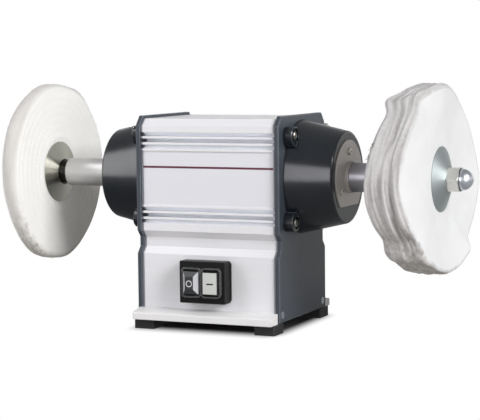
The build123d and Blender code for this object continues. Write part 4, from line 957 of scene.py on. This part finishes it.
# Stage: a white floor that takes the shadow under the base, a white surround, and soft lamps.
# The camera stands where the photograph was taken from. Lengths are in metres here.
floor_half = 8.0
shadow_half = Vector((0.0698, 0.055, 1.0))
shadow_fade = Vector((0.025, 0.047, 1.0))
shade_centre = Vector((-0.25, 0.0, 0.0))    # metal mirrors less of the floor round here
shade_inner = 0.2
shade_outer = 0.7
shaded_gleam = 0.1        # how bright the floor is in mirror images there, and elsewhere
floor_gleam = 0.45
ambient = 0.2             # strength of the surround on matt surfaces
ceiling = 0.35            # and of its upper part in mirror images
wall_top = 0.05           # height of a direction, where the bright wall ends
ceiling_start = 0.5


def rays(tree):
    """The kinds of ray, and a mask of those that show the background itself."""
    kinds = add(tree, "LightPath").outputs
    seen = [kinds["Is Camera Ray"], kinds["Is Transmission Ray"]]
    return kinds, add(tree, "Math", seen, operation="MAXIMUM")


corners = ((-floor_half, -floor_half), (floor_half, -floor_half), (floor_half, floor_half),
           (-floor_half, floor_half))
floor = new_piece("floor", [(x, y, 0) for x, y in corners], [(0, 1, 2, 3)])
# Floor paint: matt, white to the eye, apart from the soft shadow close round the base.
floor_paint, tree, spot = new_finish("floor_paint")
kinds, straight = rays(tree)
away = add(tree, "VectorMath", [spot, shade_centre], operation="DISTANCE")
mirrored = add(tree, "MapRange", {"Value": away, "From Min": shade_inner, "From Max": shade_outer,
                                  "To Min": shaded_gleam, "To Max": floor_gleam})
beside = add(tree, "VectorMath", [spot], operation="ABSOLUTE")
for operation, term in (("SUBTRACT", shadow_half), ("DIVIDE", shadow_fade), ("MAXIMUM", (0, 0, 0))):
    beside = add(tree, "VectorMath", [beside, term], operation=operation)
beside = add(tree, "VectorMath", [beside], operation="LENGTH")
clear = add(tree, "MapRange", {"Value": beside}, interpolation_type="SMOOTHSTEP")
straight = add(tree, "Math", [straight, clear], operation="MULTIPLY")
bright = add(tree, "Math", [kinds["Is Glossy Ray"], mirrored, straight], operation="MULTIPLY_ADD")
tone = add(tree, "Mix", {
    0: kinds["Is Diffuse Ray"], 6: linear("#484848"), 7: linear("#b8b4ae")}, data_type="RGBA")
matt = add(tree, "BsdfDiffuse", {"Color": tone})
white = add(tree, "Emission", {"Color": (1, 1, 1, 1), "Strength": 1.0})
floor_look = add(tree, "MixShader", [bright, matt, white])
add(tree, "OutputMaterial", {"Surface": floor_look})
floor.data.materials.append(floor_paint)

world = bpy.data.worlds.new("studio")
bpy.context.scene.world = world
world.use_nodes = True
tree = world.node_tree
tree.nodes.clear()
kinds, straight = rays(tree)
direction = add(tree, "SeparateXYZ", [add(tree, "TexCoord").outputs["Generated"]])
mirrored = add(tree, "MapRange", {"Value": direction.outputs["Z"], "From Min": wall_top,
                                  "From Max": ceiling_start, "To Min": 1.0, "To Max": ceiling})
level = add(tree, "Mix", {0: kinds["Is Glossy Ray"], 2: ambient, 3: mirrored})
level = add(tree, "Mix", {0: straight, 2: level, 3: 1.0})
tone = add(tree, "Mix", {
    0: kinds["Is Diffuse Ray"], 6: (1, 1, 1, 1), 7: (1, 0.975, 0.95, 1)}, data_type="RGBA")
sky = add(tree, "Background", {"Color": tone, "Strength": level})
add(tree, "OutputWorld", {"Surface": sky})


def soft_lamp(name, place, aim, width, height, radiance, colour=(1, 1, 1)):
    """A soft box that faces a point, as bright as its radiance."""
    lamp = bpy.data.lights.new(name, "AREA")
    lamp.shape = "RECTANGLE"
    lamp.size = width
    lamp.size_y = height
    lamp.energy = radiance * pi * width * height
    lamp.color = colour
    holder = new_object(name, lamp)
    holder.location = place
    holder.rotation_euler = (Vector(aim) - Vector(place)).to_track_quat("-Z", "Y").to_euler()
    holder.visible_camera = False


soft_lamp("front_box", (0.0, -1.3, 0.36), (0, 0, 0.15),
          width=0.32, height=0.7, radiance=4.2, colour=(0.95, 0.94, 1.0))
soft_lamp("left_box", (-1.0, -0.85, 0.77), (0, 0, 0.15),
          width=0.5, height=1.6, radiance=4.2, colour=(0.98, 0.98, 1.0))
soft_lamp("right_box", (3.45, -1.4, 2.0), (0, 0, 0.15), width=1.6, height=1.6, radiance=19.0)
soft_lamp("right_strip", (1.3, -0.8, 0.17), (0, 0, 0.16), width=0.6, height=0.3, radiance=4.5)
soft_lamp("back_strip", (-0.7, 1.5, 0.13), (0, 0, 0.13), width=0.7, height=0.24, radiance=16.0)

bpy.context.scene.view_settings.view_transform = "Standard"
camera_azimuth = radians(24.021)
camera_elevation = radians(5.223)
camera_roll = radians(-0.629)
camera_target = Vector((9.218, 0, 121.627)) * mm
camera_distance = 1854.62 * mm
focal_pixels = 1722.78
photo_width = 480
lens = bpy.data.cameras.new("camera")
lens.sensor_width = 36
lens.lens = lens.sensor_width * focal_pixels / photo_width
camera = new_object("camera", lens)
upright = Matrix.Rotation(camera_azimuth, 4, "Z") @ Matrix.Rotation(pi / 2 - camera_elevation, 4, "X")
stand_off = Matrix.Translation((0, 0, camera_distance))
roll = Matrix.Rotation(camera_roll, 4, "Z")
camera.matrix_world = Matrix.Translation(camera_target) @ upright @ stand_off @ roll
bpy.context.scene.camera = camera
